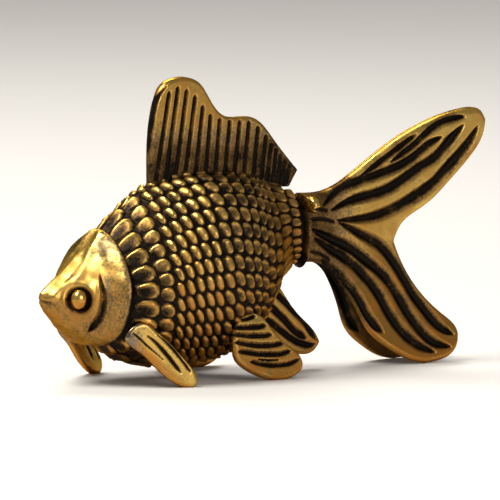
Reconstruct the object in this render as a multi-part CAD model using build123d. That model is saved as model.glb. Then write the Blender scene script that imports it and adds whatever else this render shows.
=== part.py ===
from build123d import *
import math
import os

os.makedirs("parts", exist_ok=True)

# A cast brass goldfish that stands on its fins. The nose points along -X, the fish's
# left side faces -Y, the floor is z = 0 and the origin lies under the middle of its length.

# Overall sizes, in millimetres
overall_length = 50.0
trunk_height = 18.3
trunk_width = 16.0
belly_gap = 1.0

# How the separately cast pieces are put together
fit_clearance = 0.05
overrun = 60.0

# Sections of the trunk, from front to back: place along the overall length from the nose,
# top and bottom as shares of the trunk's height, half width as a share of half its width,
# and the fullness of the back and of the belly, from 1 for a gable to 2 for a round arch and
# more for a boxy one
trunk_section_shares = [
    (0.084, 0.600, 0.197, 0.500, 1.45, 2.20),
    (0.116, 0.690, 0.153, 0.712, 1.45, 2.20),
    (0.140, 0.758, 0.093, 0.825, 1.45, 2.10),
    (0.180, 0.850, 0.033, 0.925, 1.45, 2.00),
    (0.220, 0.926, 0.008, 0.981, 1.50, 2.00),
    (0.280, 0.981, 0.000, 1.000, 1.70, 2.00),
    (0.340, 1.000, 0.005, 0.975, 1.90, 2.00),
    (0.400, 0.995, 0.038, 0.875, 2.00, 2.00),
    (0.440, 0.981, 0.093, 0.762, 2.00, 2.00),
    (0.480, 0.951, 0.197, 0.588, 1.90, 2.00),
    (0.510, 0.923, 0.306, 0.412, 1.80, 2.00),
    (0.540, 0.891, 0.410, 0.288, 1.80, 2.00),
    (0.560, 0.869, 0.459, 0.231, 1.80, 2.00),
    (0.578, 0.847, 0.489, 0.200, 1.80, 2.00),
]

# Sections of the head, in the same way
head_section_shares = [
    (0.000, 0.423, 0.361, 0.045, 1.80, 2.50),
    (0.012, 0.452, 0.322, 0.120, 1.60, 2.50),
    (0.040, 0.506, 0.250, 0.255, 1.45, 2.50),
    (0.070, 0.576, 0.182, 0.440, 1.50, 2.50),
    (0.094, 0.636, 0.147, 0.612, 1.60, 2.60),
    (0.116, 0.696, 0.125, 0.790, 1.70, 2.70),
    (0.140, 0.765, 0.110, 0.880, 1.70, 2.70),
    (0.160, 0.815, 0.098, 0.930, 1.70, 2.70),
]
widest_share = 0.45
section_points = 12

# Scales: rings that each rise from under the ring in front to a scalloped rim. The rims have
# places along the overall length, and a scale's arch has heights from one gap to the next. The
# margin keeps the rims below the smooth form that the fins are fitted to
scale_rim_shares = [0.126, 0.170, 0.200, 0.220, 0.241, 0.262, 0.284, 0.305, 0.332, 0.358, 0.384,
                    0.406, 0.428, 0.455, 0.494, 0.540, 0.568, 0.578]
scale_arch_shares = (0.0, 0.9, 0.9)
scales_round = 28
scale_depth = 0.42
scale_margin = 0.08
fine_steps = 720

# The seam behind the gill covers, and the round spigot that joins the trunk to the head
seam_place_share = 0.117
seam_height_share = 0.426
seam_lean = 6.0
spigot_radius = 1.8
spigot_length = 1.8

# Eyes
eye_radius = 0.85
eye_place_share = 0.050
eye_height_share = 0.388
eye_sink_share = 0.45
eye_turn = 42.0
eye_dish_radius = 1.9
eye_dish_depth_share = 0.27

# Dorsal fin: an upright plate, its outline in shares of its length and height from the
# front root, with rays between slots
dorsal_length = 16.7
dorsal_height = 8.6
dorsal_thickness = 1.1
dorsal_place_share = 0.239
dorsal_front_shares = [(0.00, -0.22), (0.00, 0.276), (0.032, 0.724), (0.10, 0.943), (0.212, 1.0)]
dorsal_top_shares = [(0.212, 1.0), (0.324, 0.943), (0.406, 0.747), (0.506, 0.552), (0.694, 0.517),
                     (0.835, 0.276), (1.0, -0.08)]
dorsal_root_shares = [(1.0, -0.08), (0.94, -0.26), (0.0, -0.22)]
dorsal_tenon_shares = (0.10, 0.88)
dorsal_tenon_depth = 1.6
dorsal_slot_count = 18
dorsal_slot_width = 0.36
dorsal_slot_depth = 0.28
dorsal_rim = 0.95
dorsal_lean_share = 0.06

# Pectoral fins: outline in shares of their reach along the fish and of their drop to the floor
pectoral_reach = 6.8
pectoral_thickness = 0.9
pectoral_place_share = 0.114
pectoral_height_share = 0.276
pectoral_side_share = 0.660
pectoral_splay = 3.0
pectoral_yaw = 20.0
pectoral_upper_shares = [(0.0, -0.23), (0.12, -0.03), (0.30, 0.0), (0.45, -0.14), (0.65, -0.35),
                         (0.86, -0.62), (1.0, -0.88)]
pectoral_lower_shares = [(1.0, -0.88), (0.97, -0.99), (0.86, -1.02), (0.71, -0.96), (0.43, -0.71),
                         (0.20, -0.46), (0.0, -0.23)]
pectoral_peg_radius = 0.8
pectoral_peg_shares = (0.30, -0.16)

# Pelvic fins, in the same way
pelvic_reach = 7.7
pelvic_thickness = 0.9
pelvic_place_share = 0.338
pelvic_height_share = 0.290
pelvic_side_share = 0.775
pelvic_splay = 6.0
pelvic_yaw = 0.0
pelvic_upper_shares = [(0.01, -0.28), (0.07, -0.12), (0.18, -0.03), (0.31, 0.0), (0.42, -0.05),
                       (0.56, -0.23), (0.79, -0.50), (0.98, -0.72), (0.99, -0.83)]
pelvic_lower_shares = [(0.99, -0.83), (0.85, -0.97), (0.60, -1.01), (0.34, -0.93), (0.13, -0.80),
                       (0.02, -0.66), (0.0, -0.48), (0.01, -0.28)]
pelvic_peg_radius = 0.8
pelvic_peg_shares = (0.26, -0.18)
side_peg_depth = 2.2

# Anal fin: a plate on the middle plane under the rear of the trunk
anal_reach = 7.6
anal_rise = 6.6
anal_thickness = 0.9
anal_place_share = 0.472
anal_height_share = 0.380
anal_lower_shares = [(0.0, -0.55), (0.42, -0.86), (0.72, -1.0), (0.90, -0.97), (1.0, -0.84)]
anal_upper_shares = [(1.0, -0.84), (0.95, -0.73), (0.70, -0.44), (0.42, -0.05)]
anal_root_shares = [(0.42, -0.05), (0.20, 0.15), (0.0, -0.55)]
anal_tenon_shares = (0.16, 0.36)
anal_tenon_reach = 2.0

# Tail: two halves lie back to back on the middle plane, and their lower lobes part. It starts
# a set-back behind the trunk's end, and reaches from there to the end of the overall length
tail_set_back = 1.2
tail_rise = 23.4
tail_thickness = 0.85
tail_splay = 12.0
tail_hinge_share = 0.44
tail_root_length = 3.2
tail_tenon_height = 2.6
tail_tenon_length = 2.0
upper_lobe_top_shares = [(0.05, 0.680), (0.28, 0.775), (0.52, 0.892), (0.69, 0.955), (0.88, 0.999),
                         (0.97, 0.990), (1.0, 0.949)]
upper_lobe_rear_shares = [(1.0, 0.949), (0.99, 0.902), (0.91, 0.803), (0.79, 0.711), (0.65, 0.620),
                          (0.51, 0.547), (0.47, 0.487)]
upper_lobe_root_shares = [(0.47, 0.487), (0.20, 0.44), (0.05, 0.44), (0.05, 0.680)]
lower_lobe_rear_shares = [(0.47, 0.487), (0.51, 0.389), (0.60, 0.265), (0.70, 0.184), (0.775, 0.111),
                          (0.76, 0.050), (0.57, -0.008)]
lower_lobe_front_shares = [(0.57, -0.008), (0.50, 0.004), (0.39, 0.051), (0.27, 0.137),
                           (0.22, 0.222), (0.15, 0.329), (0.05, 0.415)]
lower_lobe_root_shares = [(0.05, 0.415), (0.05, 0.52), (0.22, 0.53), (0.47, 0.487)]

# Grooves between the tail's rays, each along a line from the root and pointed at both ends
tail_groove_shares = [
    [(0.150, 0.742), (0.259, 0.789), (0.375, 0.838), (0.481, 0.882), (0.580, 0.924)],
    [(0.360, 0.786), (0.481, 0.842), (0.674, 0.933), (0.761, 0.961), (0.880, 0.969)],
    [(0.060, 0.660), (0.230, 0.731), (0.481, 0.785), (0.655, 0.863), (0.750, 0.900)],
    [(0.100, 0.628), (0.375, 0.686), (0.607, 0.776), (0.781, 0.875), (0.870, 0.940)],
    [(0.140, 0.585), (0.327, 0.595), (0.558, 0.678), (0.713, 0.768), (0.935, 0.930)],
    [(0.150, 0.575), (0.305, 0.510), (0.442, 0.414), (0.540, 0.269), (0.669, 0.131), (0.740, 0.097)],
    [(0.050, 0.530), (0.207, 0.469), (0.394, 0.345), (0.499, 0.193), (0.629, 0.069), (0.714, 0.048)],
    [(0.060, 0.490), (0.183, 0.428), (0.329, 0.297), (0.394, 0.193), (0.540, 0.062), (0.621, 0.031)],
    [(0.060, 0.425), (0.175, 0.328), (0.256, 0.214), (0.341, 0.124)],
]
tail_groove_width = 0.85
tail_groove_depth = 0.30
tail_inner_groove_depth = 0.20
groove_steps = 8

# Places and heights that follow from the sizes above
nose_x = -overall_length / 2
half_width = trunk_width / 2


def along(share):
    """Place along the fish of a share of the overall length from the nose."""
    return nose_x + share * overall_length


def level(share):
    """Height above the floor of a share of the trunk's height."""
    return belly_gap + share * trunk_height


def cross_plane(x, z):
    """Upright plane across the fish, its X towards +Y and its Y upwards."""
    return Plane(origin=(x, 0, z), x_dir=(0, 1, 0), z_dir=(1, 0, 0))


def widest_height(row):
    """Height at which a section of the body is widest."""
    high, low = level(row[1]), level(row[2])
    return low + widest_share * (high - low)


def section_point(row, turn, margin=0):
    """Point of a section at a turn from its side, measured from the middle of its widest height."""
    place, top, bottom, wide, back_fullness, belly_fullness = row
    across, up = math.cos(turn), math.sin(turn)
    power = 2 / (back_fullness if up > 0 else belly_fullness)
    edge = level(top) if up > 0 else level(bottom)
    rise = abs(edge - widest_height(row)) + margin
    y = (wide * half_width + margin) * math.copysign(abs(across) ** power, across)
    return y, rise * math.copysign(abs(up) ** power, up)


def upright_section(row, line):
    """Upright face inside a closed line about the middle of a section's widest height."""
    return cross_plane(along(row[0]), widest_height(row)) * Face(Wire(line.edges()))


def section(row, margin):
    """One upright section of the body, grown all round by a margin."""
    turns = [math.tau * index / section_points for index in range(section_points)]
    points = [section_point(row, turn, margin) for turn in turns]
    return upright_section(row, Spline(*points, periodic=True))


def body_form(rows, margin=0):
    """The smooth body through all its sections."""
    return loft([section(row, margin) for row in rows])


def interpolate(rows, place, column):
    """Value of one column of a table at a place between two of its rows."""
    for low, high in zip(rows, rows[1:]):
        if place <= high[0]:
            part = (place - low[0]) / (high[0] - low[0])
            return low[column] + part * (high[column] - low[column])
    return rows[-1][column]


def smooth_value(rows, place, column):
    """Value of one column of a table at a place, on a smooth curve through its rows."""
    slopes = []
    for index in range(len(rows)):
        before, after = rows[max(index - 1, 0)], rows[min(index + 1, len(rows) - 1)]
        slopes.append((after[column] - before[column]) / (after[0] - before[0]))
    index = max(index for index, row in enumerate(rows[:-1]) if row[0] <= place)
    low, high = rows[index], rows[index + 1]
    gap = high[0] - low[0]
    part = (place - low[0]) / gap
    ease = part * part * (3 - 2 * part)
    start = part * (1 - part) ** 2 * gap * slopes[index]
    end = part * part * (part - 1) * gap * slopes[index + 1]
    return low[column] + ease * (high[column] - low[column]) + start + end


def even_points(row, count):
    """Points evenly round a section of the body, from its top."""
    turns = [math.pi / 2 + math.tau * index / fine_steps for index in range(fine_steps + 1)]
    fine = [section_point(row, turn) for turn in turns]
    marks = [0]
    for first, second in zip(fine, fine[1:]):
        marks.append(marks[-1] + math.dist(first, second))
    points = []
    spot = 0
    for index in range(count):
        while marks[spot + 1] <= marks[-1] * index / count:
            spot += 1
        points.append(fine[spot])
    return points


def ring_section(place, arch):
    """Upright section of the trunk with its scales' heights, repeated round it."""
    row = (place, *(smooth_value(trunk_section_shares, place, column) for column in range(1, 6)))
    depth = scale_depth * math.sqrt(row[3])
    points = []
    for index, point in enumerate(even_points(row, scales_round * len(scale_arch_shares))):
        sink = scale_margin + depth * (1 - arch[index % len(arch)])
        points.append(Vector(*point) * (1 - sink / math.hypot(*point)))
    return upright_section(row, Polyline(*points, close=True))


def scale_rings():
    """Rings of scales from behind the head to the root of the tail."""
    rings = []
    for start, end in zip(scale_rim_shares, scale_rim_shares[1:]):
        rings.append(loft([ring_section(start, (0,)), ring_section(end, scale_arch_shares)], ruled=True))
    return rings


def stretch(shares, reach, rise, smooth=True):
    """One stretch of an outline from points in shares of a reach and a rise."""
    points = [(u * reach, v * rise) for u, v in shares]
    return Spline(*points) if smooth else Polyline(*points)


def outline(smooth_stretches, straight_stretch, reach, rise):
    """Closed outline of smooth stretches, and a straight one at the root where there is one."""
    edges = [stretch(shares, reach, rise) for shares in smooth_stretches]
    if straight_stretch:
        edges.append(stretch(straight_stretch, reach, rise, smooth=False))
    return Face(Wire([edge for part in edges for edge in part.edges()]))


def upright(face, thickness):
    """Plate of an outline, upright and centred on the middle plane."""
    return extrude(Plane.XZ * face, thickness / 2, both=True)


def block(x_low, x_high, thick, z_low, z_high, grow=0):
    """Upright block on the middle plane, grown all round by a clearance."""
    size = (x_high - x_low + 2 * grow, thick + 2 * grow, z_high - z_low + 2 * grow)
    return Pos((x_low + x_high) / 2, 0, (z_low + z_high) / 2) * Box(*size)


def groove_band(shares, reach, rise, width):
    """Outline of a groove along a line, pointed at both ends."""
    line = stretch(shares, reach, rise)
    edges = []
    for side in (width / 2, -width / 2):
        points = []
        for index in range(groove_steps + 1):
            part = index / groove_steps
            run = line % part
            points.append((line @ part) + Vector(-run.Y, run.X) * side * math.sin(math.pi * part))
        edges += Spline(*points).edges()
    return Face(Wire(edges))


# Everything in front of the leaning seam is head, and what lies behind it is trunk
seam = Pos(along(seam_place_share), 0, level(seam_height_share)) * Rot(0, seam_lean, 0)
above_floor = block(-overrun, overrun, overrun * 2, 0, overrun)


def front_of_seam():
    """Space in front of the seam."""
    return seam * block(-overrun, 0, overrun * 2, -overrun, overrun)


def behind_seam():
    """Space behind the seam, a clearance away from the head."""
    return seam * block(fit_clearance, overrun * 2, overrun * 2, -overrun, overrun)


def spigot(grow=0):
    """Round spigot from inside the trunk into the head."""
    return seam * Rot(0, 90, 0) * Cylinder(spigot_radius + grow, (spigot_length + grow) * 2)


def eye_place(reach):
    """Point on the line through the left eye, a distance out from the skin."""
    wide = interpolate(head_section_shares, eye_place_share, 3) * half_width
    turn = math.radians(eye_turn)
    x = along(eye_place_share) - reach * math.sin(turn)
    return Pos(x, -wide - reach * math.cos(turn), level(eye_height_share))


def eye(grow=0):
    """Round left eye, set into its cup."""
    return eye_place(-eye_radius * eye_sink_share) * Sphere(eye_radius + grow)


def eye_dish():
    """Shallow round dish about the left eye."""
    return eye_place(eye_dish_radius * (1 - eye_dish_depth_share)) * Sphere(eye_dish_radius)


# Dorsal fin
dorsal_base = Pos(along(dorsal_place_share), 0, level(1))


def dorsal_edge(share):
    """Height share of the dorsal fin's edge above a share of its length."""
    return interpolate(dorsal_front_shares[2:] + dorsal_top_shares[1:], share, 1)


def dorsal_slot(part):
    """Outline of the slot whose foot is a share along the dorsal fin, or nothing if too short."""
    lean = dorsal_lean_share * dorsal_edge(part)
    foot = Vector(part * dorsal_length, 0)
    tip = Vector((part + lean) * dorsal_length, dorsal_edge(part + lean) * dorsal_height - dorsal_rim)
    run = tip - foot
    if tip.Y < dorsal_slot_width:
        return None
    middle = (foot + tip) / 2
    turn = math.degrees(math.atan2(run.Y, run.X))
    return Pos(middle.X, middle.Y) * SlotCenterToCenter(run.length, dorsal_slot_width, rotation=turn)


def dorsal_tenon(grow=0):
    """Tongue under the dorsal fin, which sits in a slot along the back."""
    start, end = (share * dorsal_length for share in dorsal_tenon_shares)
    low = min(dorsal_root_shares[1][1], dorsal_root_shares[2][1]) * dorsal_height
    thick = dorsal_thickness / 2
    return dorsal_base * block(start, end, thick, low - dorsal_tenon_depth, 0, grow)


def dorsal_fin(clear_of):
    """Dorsal fin with its slots on both faces and its tongue."""
    stretches = [dorsal_front_shares, dorsal_top_shares]
    face = outline(stretches, dorsal_root_shares, dorsal_length, dorsal_height)
    plate = dorsal_base * upright(face, dorsal_thickness) - clear_of
    shift = dorsal_thickness - dorsal_slot_depth
    cutters = []
    for index in range(dorsal_slot_count):
        slot = dorsal_slot((index + 1) / (dorsal_slot_count + 1))
        if slot:
            cutter = dorsal_base * upright(slot, dorsal_thickness)
            cutters += [Pos(0, shift, 0) * cutter, Pos(0, -shift, 0) * cutter]
    return plate - cutters + dorsal_tenon()


# Fins on the left flank: the local origin is the root, below it the fin splays outwards
# and behind it the fin yaws outwards
def flank(place_share, height_share, side_share, splay, yaw):
    """Place of the root of a fin on the left flank."""
    root = Pos(along(place_share), -side_share * half_width, level(height_share))
    return root * Rot(0, 0, -yaw) * Rot(-splay, 0, 0)


def drop(height_share, splay):
    """Length of a splayed fin from its root down to the floor."""
    return level(height_share) / math.cos(math.radians(splay))


def peg(place, reach, fall, shares, radius, grow=0):
    """Round peg from a left flank fin into the trunk."""
    depth = side_peg_depth + grow
    centre = Pos(shares[0] * reach, depth / 2, shares[1] * fall)
    return place * centre * Rot(90, 0, 0) * Cylinder(radius + grow, depth)


pectoral_fall = drop(pectoral_height_share, pectoral_splay)
pectoral_place = flank(pectoral_place_share, pectoral_height_share, pectoral_side_share,
                       pectoral_splay, pectoral_yaw)
pelvic_fall = drop(pelvic_height_share, pelvic_splay)
pelvic_place = flank(pelvic_place_share, pelvic_height_share, pelvic_side_share,
                     pelvic_splay, pelvic_yaw)


def pectoral_peg(grow=0):
    """Peg of the left pectoral fin."""
    shares = pectoral_peg_shares
    return peg(pectoral_place, pectoral_reach, pectoral_fall, shares, pectoral_peg_radius, grow)


def pelvic_peg(grow=0):
    """Peg of the left pelvic fin."""
    shares = pelvic_peg_shares
    return peg(pelvic_place, pelvic_reach, pelvic_fall, shares, pelvic_peg_radius, grow)


def pectoral_fin(clear_of):
    """Left pectoral fin with a foot flat at its tip, kept behind the head."""
    face = outline([pectoral_upper_shares, pectoral_lower_shares], None, pectoral_reach, pectoral_fall)
    plate = pectoral_place * upright(face, pectoral_thickness)
    return (plate & above_floor & behind_seam()) - clear_of + pectoral_peg()


def pelvic_fin(clear_of):
    """Left pelvic fin with a foot flat under its lower edge."""
    face = outline([pelvic_upper_shares, pelvic_lower_shares], None, pelvic_reach, pelvic_fall)
    plate = pelvic_place * upright(face, pelvic_thickness)
    return (plate & above_floor) - clear_of + pelvic_peg()


# Anal fin
anal_base = Pos(along(anal_place_share), 0, level(anal_height_share))


def anal_tenon(grow=0):
    """Tongue above the anal fin, which sits in a slot in the underside."""
    start, end = (share * anal_reach for share in anal_tenon_shares)
    low = anal_root_shares[2][1] * anal_rise
    return anal_base * block(start, end, anal_thickness / 2, low, anal_tenon_reach, grow)


def anal_fin(clear_of):
    """Anal fin with its tongue."""
    face = outline([anal_lower_shares, anal_upper_shares], anal_root_shares, anal_reach, anal_rise)
    plate = anal_base * upright(face, anal_thickness)
    return plate - clear_of + anal_tenon()


# Tail
root_row = trunk_section_shares[-1]
root_share = root_row[0]
root_top = level(root_row[1])
root_bottom = level(root_row[2])
root_middle = (root_top + root_bottom) / 2
trunk_end = along(root_share)
tail_x = trunk_end + tail_set_back
tail_reach = nose_x + overall_length - tail_x


def left_half_space():
    """Space on the left of the middle plane, half a clearance away from it."""
    return Pos(0, -(overrun + fit_clearance) / 2, 0) * block(-overrun, overrun, overrun, -overrun, overrun)


def tail_root():
    """Root of both tail halves, which flattens from the trunk's end section."""
    start = cross_plane(trunk_end + fit_clearance, root_middle)
    end = cross_plane(trunk_end + fit_clearance + tail_root_length, root_middle)
    rise = (root_top - root_bottom) / 2
    return loft([start * Ellipse(root_row[3] * half_width, rise), end * Ellipse(tail_thickness, rise)])


def tail_tenon(grow=0):
    """Flat tongue of both tail halves, which sits in a slot in the trunk's end."""
    start = trunk_end - tail_tenon_length
    end = trunk_end + tail_root_length / 2
    low = root_middle - tail_tenon_height / 2
    high = root_middle + tail_tenon_height / 2
    return block(start, end, tail_thickness * 2, low, high, grow)


def grooved(face, inner_depth=0):
    """Plate of one lobe's outline, with grooves in its outer face and, where wanted, its inner one."""
    cutters = []
    for shares in tail_groove_shares:
        band = upright(groove_band(shares, tail_reach, tail_rise, tail_groove_width), tail_thickness)
        cutters.append(Pos(0, tail_groove_depth - tail_thickness, 0) * band)
        if inner_depth:
            cutters.append(Pos(0, tail_thickness - inner_depth, 0) * band)
    return upright(face, tail_thickness) - cutters


def tail_blade():
    """Left half of the tail: upper lobe, root, tongue and lower lobe."""
    base = Pos(tail_x, -tail_thickness / 2, 0)
    stretches = [upper_lobe_top_shares, upper_lobe_rear_shares]
    upper_face = outline(stretches, upper_lobe_root_shares, tail_reach, tail_rise)
    stretches = [lower_lobe_rear_shares, lower_lobe_front_shares]
    lower_face = outline(stretches, lower_lobe_root_shares, tail_reach, tail_rise)
    upper = base * grooved(upper_face)
    hinge = Pos(0, 0, tail_hinge_share * tail_rise)
    turn = hinge * Rot(-tail_splay, 0, 0) * hinge.inverse()
    lower = base * turn * grooved(lower_face, tail_inner_groove_depth)
    body = upper + lower + tail_root() + tail_tenon()
    return body & left_half_space() & above_floor


def both(shape):
    """A thing on the left side and its mirror image on the right."""
    return [shape, mirror(shape, about=Plane.XZ)]


neck = body_form(trunk_section_shares[:3]) & block(-overrun, along(scale_rim_shares[0]), overrun, 0, overrun)
trunk_form = neck + scale_rings()
trunk_room = body_form(trunk_section_shares, fit_clearance)
trunk_sockets = [dorsal_tenon(fit_clearance), anal_tenon(fit_clearance), tail_tenon(fit_clearance)]
trunk_sockets += both(pectoral_peg(fit_clearance)) + both(pelvic_peg(fit_clearance))
head_sockets = [spigot(fit_clearance)] + both(eye_dish()) + both(eye(fit_clearance))

pieces = {
    "trunk": (trunk_form & behind_seam()) + spigot() - trunk_sockets,
    "head": (body_form(head_section_shares) & front_of_seam()) - head_sockets,
    "dorsal_fin": dorsal_fin(trunk_room),
    "anal_fin": anal_fin(trunk_room),
}
left_pieces = {
    "eye": eye(),
    "pectoral_fin": pectoral_fin(trunk_room),
    "pelvic_fin": pelvic_fin(trunk_room),
    "tail_blade": tail_blade(),
}
for name, left_piece in left_pieces.items():
    pieces[name + "_left"], pieces[name + "_right"] = both(left_piece)

for name, piece in pieces.items():
    export_step(piece, "parts/" + name + ".step")
    size = piece.bounding_box().size
    print(name, len(piece.solids()), "solid", round(piece.volume, 2), [round(side, 2) for side in size])
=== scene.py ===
"""Looks of a cast brass goldfish: carved scales and fin rays, dark patina and rubbed crests."""

import logging
import math
from dataclasses import dataclass, field
from enum import Enum
from typing import Sequence

import bpy
import numpy as np
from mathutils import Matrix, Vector
from mathutils.geometry import delaunay_2d_cdt


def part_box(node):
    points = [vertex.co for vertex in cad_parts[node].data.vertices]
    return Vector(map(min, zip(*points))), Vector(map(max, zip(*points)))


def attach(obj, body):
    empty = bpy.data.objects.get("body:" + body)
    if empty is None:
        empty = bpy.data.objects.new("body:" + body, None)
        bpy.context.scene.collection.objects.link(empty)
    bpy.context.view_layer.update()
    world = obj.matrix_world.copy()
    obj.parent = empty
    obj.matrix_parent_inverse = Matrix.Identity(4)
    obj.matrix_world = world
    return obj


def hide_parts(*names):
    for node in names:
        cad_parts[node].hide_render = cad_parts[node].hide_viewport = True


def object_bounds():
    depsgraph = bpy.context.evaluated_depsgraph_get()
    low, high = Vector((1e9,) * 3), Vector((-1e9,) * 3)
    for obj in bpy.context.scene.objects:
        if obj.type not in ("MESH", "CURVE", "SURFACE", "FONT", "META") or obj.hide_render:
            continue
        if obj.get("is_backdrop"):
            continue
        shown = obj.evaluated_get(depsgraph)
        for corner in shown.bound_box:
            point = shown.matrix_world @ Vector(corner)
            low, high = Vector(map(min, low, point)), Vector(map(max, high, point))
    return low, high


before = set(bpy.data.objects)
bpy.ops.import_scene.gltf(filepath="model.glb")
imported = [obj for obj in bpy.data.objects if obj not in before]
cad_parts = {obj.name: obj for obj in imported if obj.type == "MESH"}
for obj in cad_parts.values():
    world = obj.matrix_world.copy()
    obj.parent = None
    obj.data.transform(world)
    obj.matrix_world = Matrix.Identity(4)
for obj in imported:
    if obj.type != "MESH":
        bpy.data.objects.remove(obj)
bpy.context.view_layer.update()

log = logging.getLogger("goldfish")

MM = 0.001
BODY = "root"
EYE_TURN = math.radians(42.0)
BELLY_GAP_SHARE, TRUNK_HEIGHT_SHARE, HALF_WIDTH_SHARE = 0.020, 0.366, 0.160
TINY = 1e-12
LEAST_SQUARE = 1e-18

Shares = Sequence[tuple[float, ...]]
Colour = tuple[float, float, float]
Socket = bpy.types.NodeSocket


class Side(Enum):
    """Side of the fish that a piece is on. The fish's left faces -Y."""

    LEFT = 1
    RIGHT = -1

    @property
    def word(self) -> str:
        """Ending of a node's name on this side."""
        return "left" if self is Side.LEFT else "right"


# Small tools for curves and fields


def smooth_step(low: float, high: float, value: np.ndarray) -> np.ndarray:
    """Rises smoothly from 0 at low to 1 at high.

    Args:
        low: Value at which the rise starts.
        high: Value at which the rise ends.
        value: Values to judge.

    Returns:
        The rise at each value.
    """
    part = np.clip((value - low) / (high - low), 0, 1)
    return part * part * (3 - 2 * part)


@dataclass(frozen=True)
class Ramp:
    """Value that changes smoothly from start to end between two places."""

    low: float
    high: float
    start: float = 0.0
    end: float = 1.0

    def at(self, place: np.ndarray) -> np.ndarray:
        """Value at each place."""
        return self.start + (self.end - self.start) * smooth_step(self.low, self.high, place)


def rounding(depth: np.ndarray, radius: float) -> np.ndarray:
    """Quarter round of an edge.

    Args:
        depth: Distance in from the edge.
        radius: Radius of the edge.

    Returns:
        0 at the edge, rising to 1 a radius in.
    """
    return np.sqrt(np.clip(1 - (1 - np.clip(depth / radius, 0, 1)) ** 2, 0, 1))


def bell(away: np.ndarray, width: float) -> np.ndarray:
    """Smooth hump, 1 in its middle and nearly gone two widths away."""
    return np.exp(-((away / width) ** 2))


def spline(points: Shares, per_span: int = 10) -> np.ndarray:
    """Smooth line through points, a cubic spline over the chords between them.

    Args:
        points: Points that the line goes through.
        per_span: Pieces between one point and the next.

    Returns:
        Points along the line.
    """
    knots = np.array(points, float)
    count = len(knots)
    if count < 3:
        return knots
    time = np.concatenate([[0], np.cumsum(np.linalg.norm(np.diff(knots, axis=0), axis=1))])
    gap = np.diff(time)
    slope = np.diff(knots, axis=0) / gap[:, None]
    matrix = np.zeros((count, count))
    right = np.zeros_like(knots)
    matrix[0, 0] = matrix[-1, -1] = 1
    for index in range(1, count - 1):
        matrix[index, index - 1] = gap[index - 1]
        matrix[index, index] = 2 * (gap[index - 1] + gap[index])
        matrix[index, index + 1] = gap[index]
        right[index] = 6 * (slope[index] - slope[index - 1])
    bend = np.linalg.solve(matrix, right)
    line = []
    for index in range(count - 1):
        last = index == count - 2
        part = np.linspace(0, 1, per_span + 1)[: None if last else -1, None]
        ahead, back = part * gap[index], (1 - part) * gap[index]
        start, end = bend[index] / 6, bend[index + 1] / 6
        line.append(
            start * back**3 / gap[index] + end * ahead**3 / gap[index]
            + (knots[index] / gap[index] - start * gap[index]) * back
            + (knots[index + 1] / gap[index] - end * gap[index]) * ahead
        )
    return np.concatenate(line)


def closed_spline(points: Shares, per_span: int = 10) -> np.ndarray:
    """Smooth closed line through points.

    Args:
        points: Points that the line goes through, the first one not repeated.
        per_span: Pieces between one point and the next.

    Returns:
        Points along the line, the first one not repeated.
    """
    lead = 4
    line = spline([*points[-lead:], *points, *points[:lead]], per_span)
    return line[lead * per_span: (lead + len(points)) * per_span]


def knot_value(knots: Shares, place: np.ndarray) -> np.ndarray:
    """Value between knots, smoothed so that no corner shows.

    Args:
        knots: Pairs of a place and the value there.
        place: Places to judge.

    Returns:
        The value at each place.
    """
    spots, values = np.array(knots, float).T
    slope = np.gradient(values, spots)
    index = np.clip(np.searchsorted(spots, place) - 1, 0, len(spots) - 2)
    gap = spots[index + 1] - spots[index]
    part = np.clip((place - spots[index]) / gap, 0, 1)
    square, cube = part**2, part**3
    return (
        (2 * cube - 3 * square + 1) * values[index]
        + (cube - 2 * square + part) * gap * slope[index]
        + (3 * square - 2 * cube) * values[index + 1]
        + (cube - square) * gap * slope[index + 1]
    )


def line_distance(points: np.ndarray, line: np.ndarray) -> tuple[np.ndarray, np.ndarray, np.ndarray]:
    """Distance of points from a line of short pieces, in a plane or in space.

    Args:
        points: Points to judge.
        line: Points along the line.

    Returns:
        The distance, the share along the line of the nearest spot, and in a plane the side
        of the line, 1 on its left and -1 on its right.
    """
    best = np.full(len(points), np.inf)
    where = np.zeros(len(points))
    side = np.ones(len(points))
    steps = np.linalg.norm(np.diff(line, axis=0), axis=1)
    marks = np.concatenate([[0], np.cumsum(steps)])
    for index, (start, end) in enumerate(zip(line, line[1:])):
        run = end - start
        away = points - start
        part = np.clip(away @ run / max(run @ run, LEAST_SQUARE), 0, 1)
        gap = np.linalg.norm(away - part[:, None] * run, axis=1)
        nearer = gap < best
        best[nearer] = gap[nearer]
        where[nearer] = (marks[index] + part[nearer] * steps[index]) / marks[-1]
        if points.shape[1] == 2:
            cross = run[0] * away[nearer, 1] - run[1] * away[nearer, 0]
            side[nearer] = np.where(cross >= 0, 1, -1)
    return best, where, side


def inside(points: np.ndarray, loop: np.ndarray) -> np.ndarray:
    """Whether points of a plane lie inside a closed loop.

    Args:
        points: Points to judge.
        loop: Corners of the loop.

    Returns:
        True for each point inside.
    """
    held = np.zeros(len(points), bool)
    for start, end in zip(loop, np.roll(loop, -1, axis=0)):
        if start[1] == end[1]:
            continue
        crosses = (start[1] > points[:, 1]) != (end[1] > points[:, 1])
        reach = start[0] + (points[:, 1] - start[1]) * (end[0] - start[0]) / (end[1] - start[1])
        held ^= crosses & (points[:, 0] < reach)
    return held


def waves(points: np.ndarray, length: float, seed: int) -> np.ndarray:
    """Gentle hand-worked unevenness, a sum of waves in fixed directions.

    Args:
        points: Points in space.
        length: Length of the longest wave.
        seed: Picks the directions.

    Returns:
        A height from about -1 to 1 at each point.
    """
    wave_count, shortening, largest_sum = 7, 0.35, 3.2
    draw = np.random.default_rng(seed)
    total = np.zeros(len(points))
    for index in range(wave_count):
        way = draw.normal(size=3)
        way /= np.linalg.norm(way)
        pitch = length / (1 + shortening * index)
        total += np.sin(points @ way * math.tau / pitch + draw.uniform(0, math.tau)) / largest_sum
    return total


# Finishes


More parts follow.
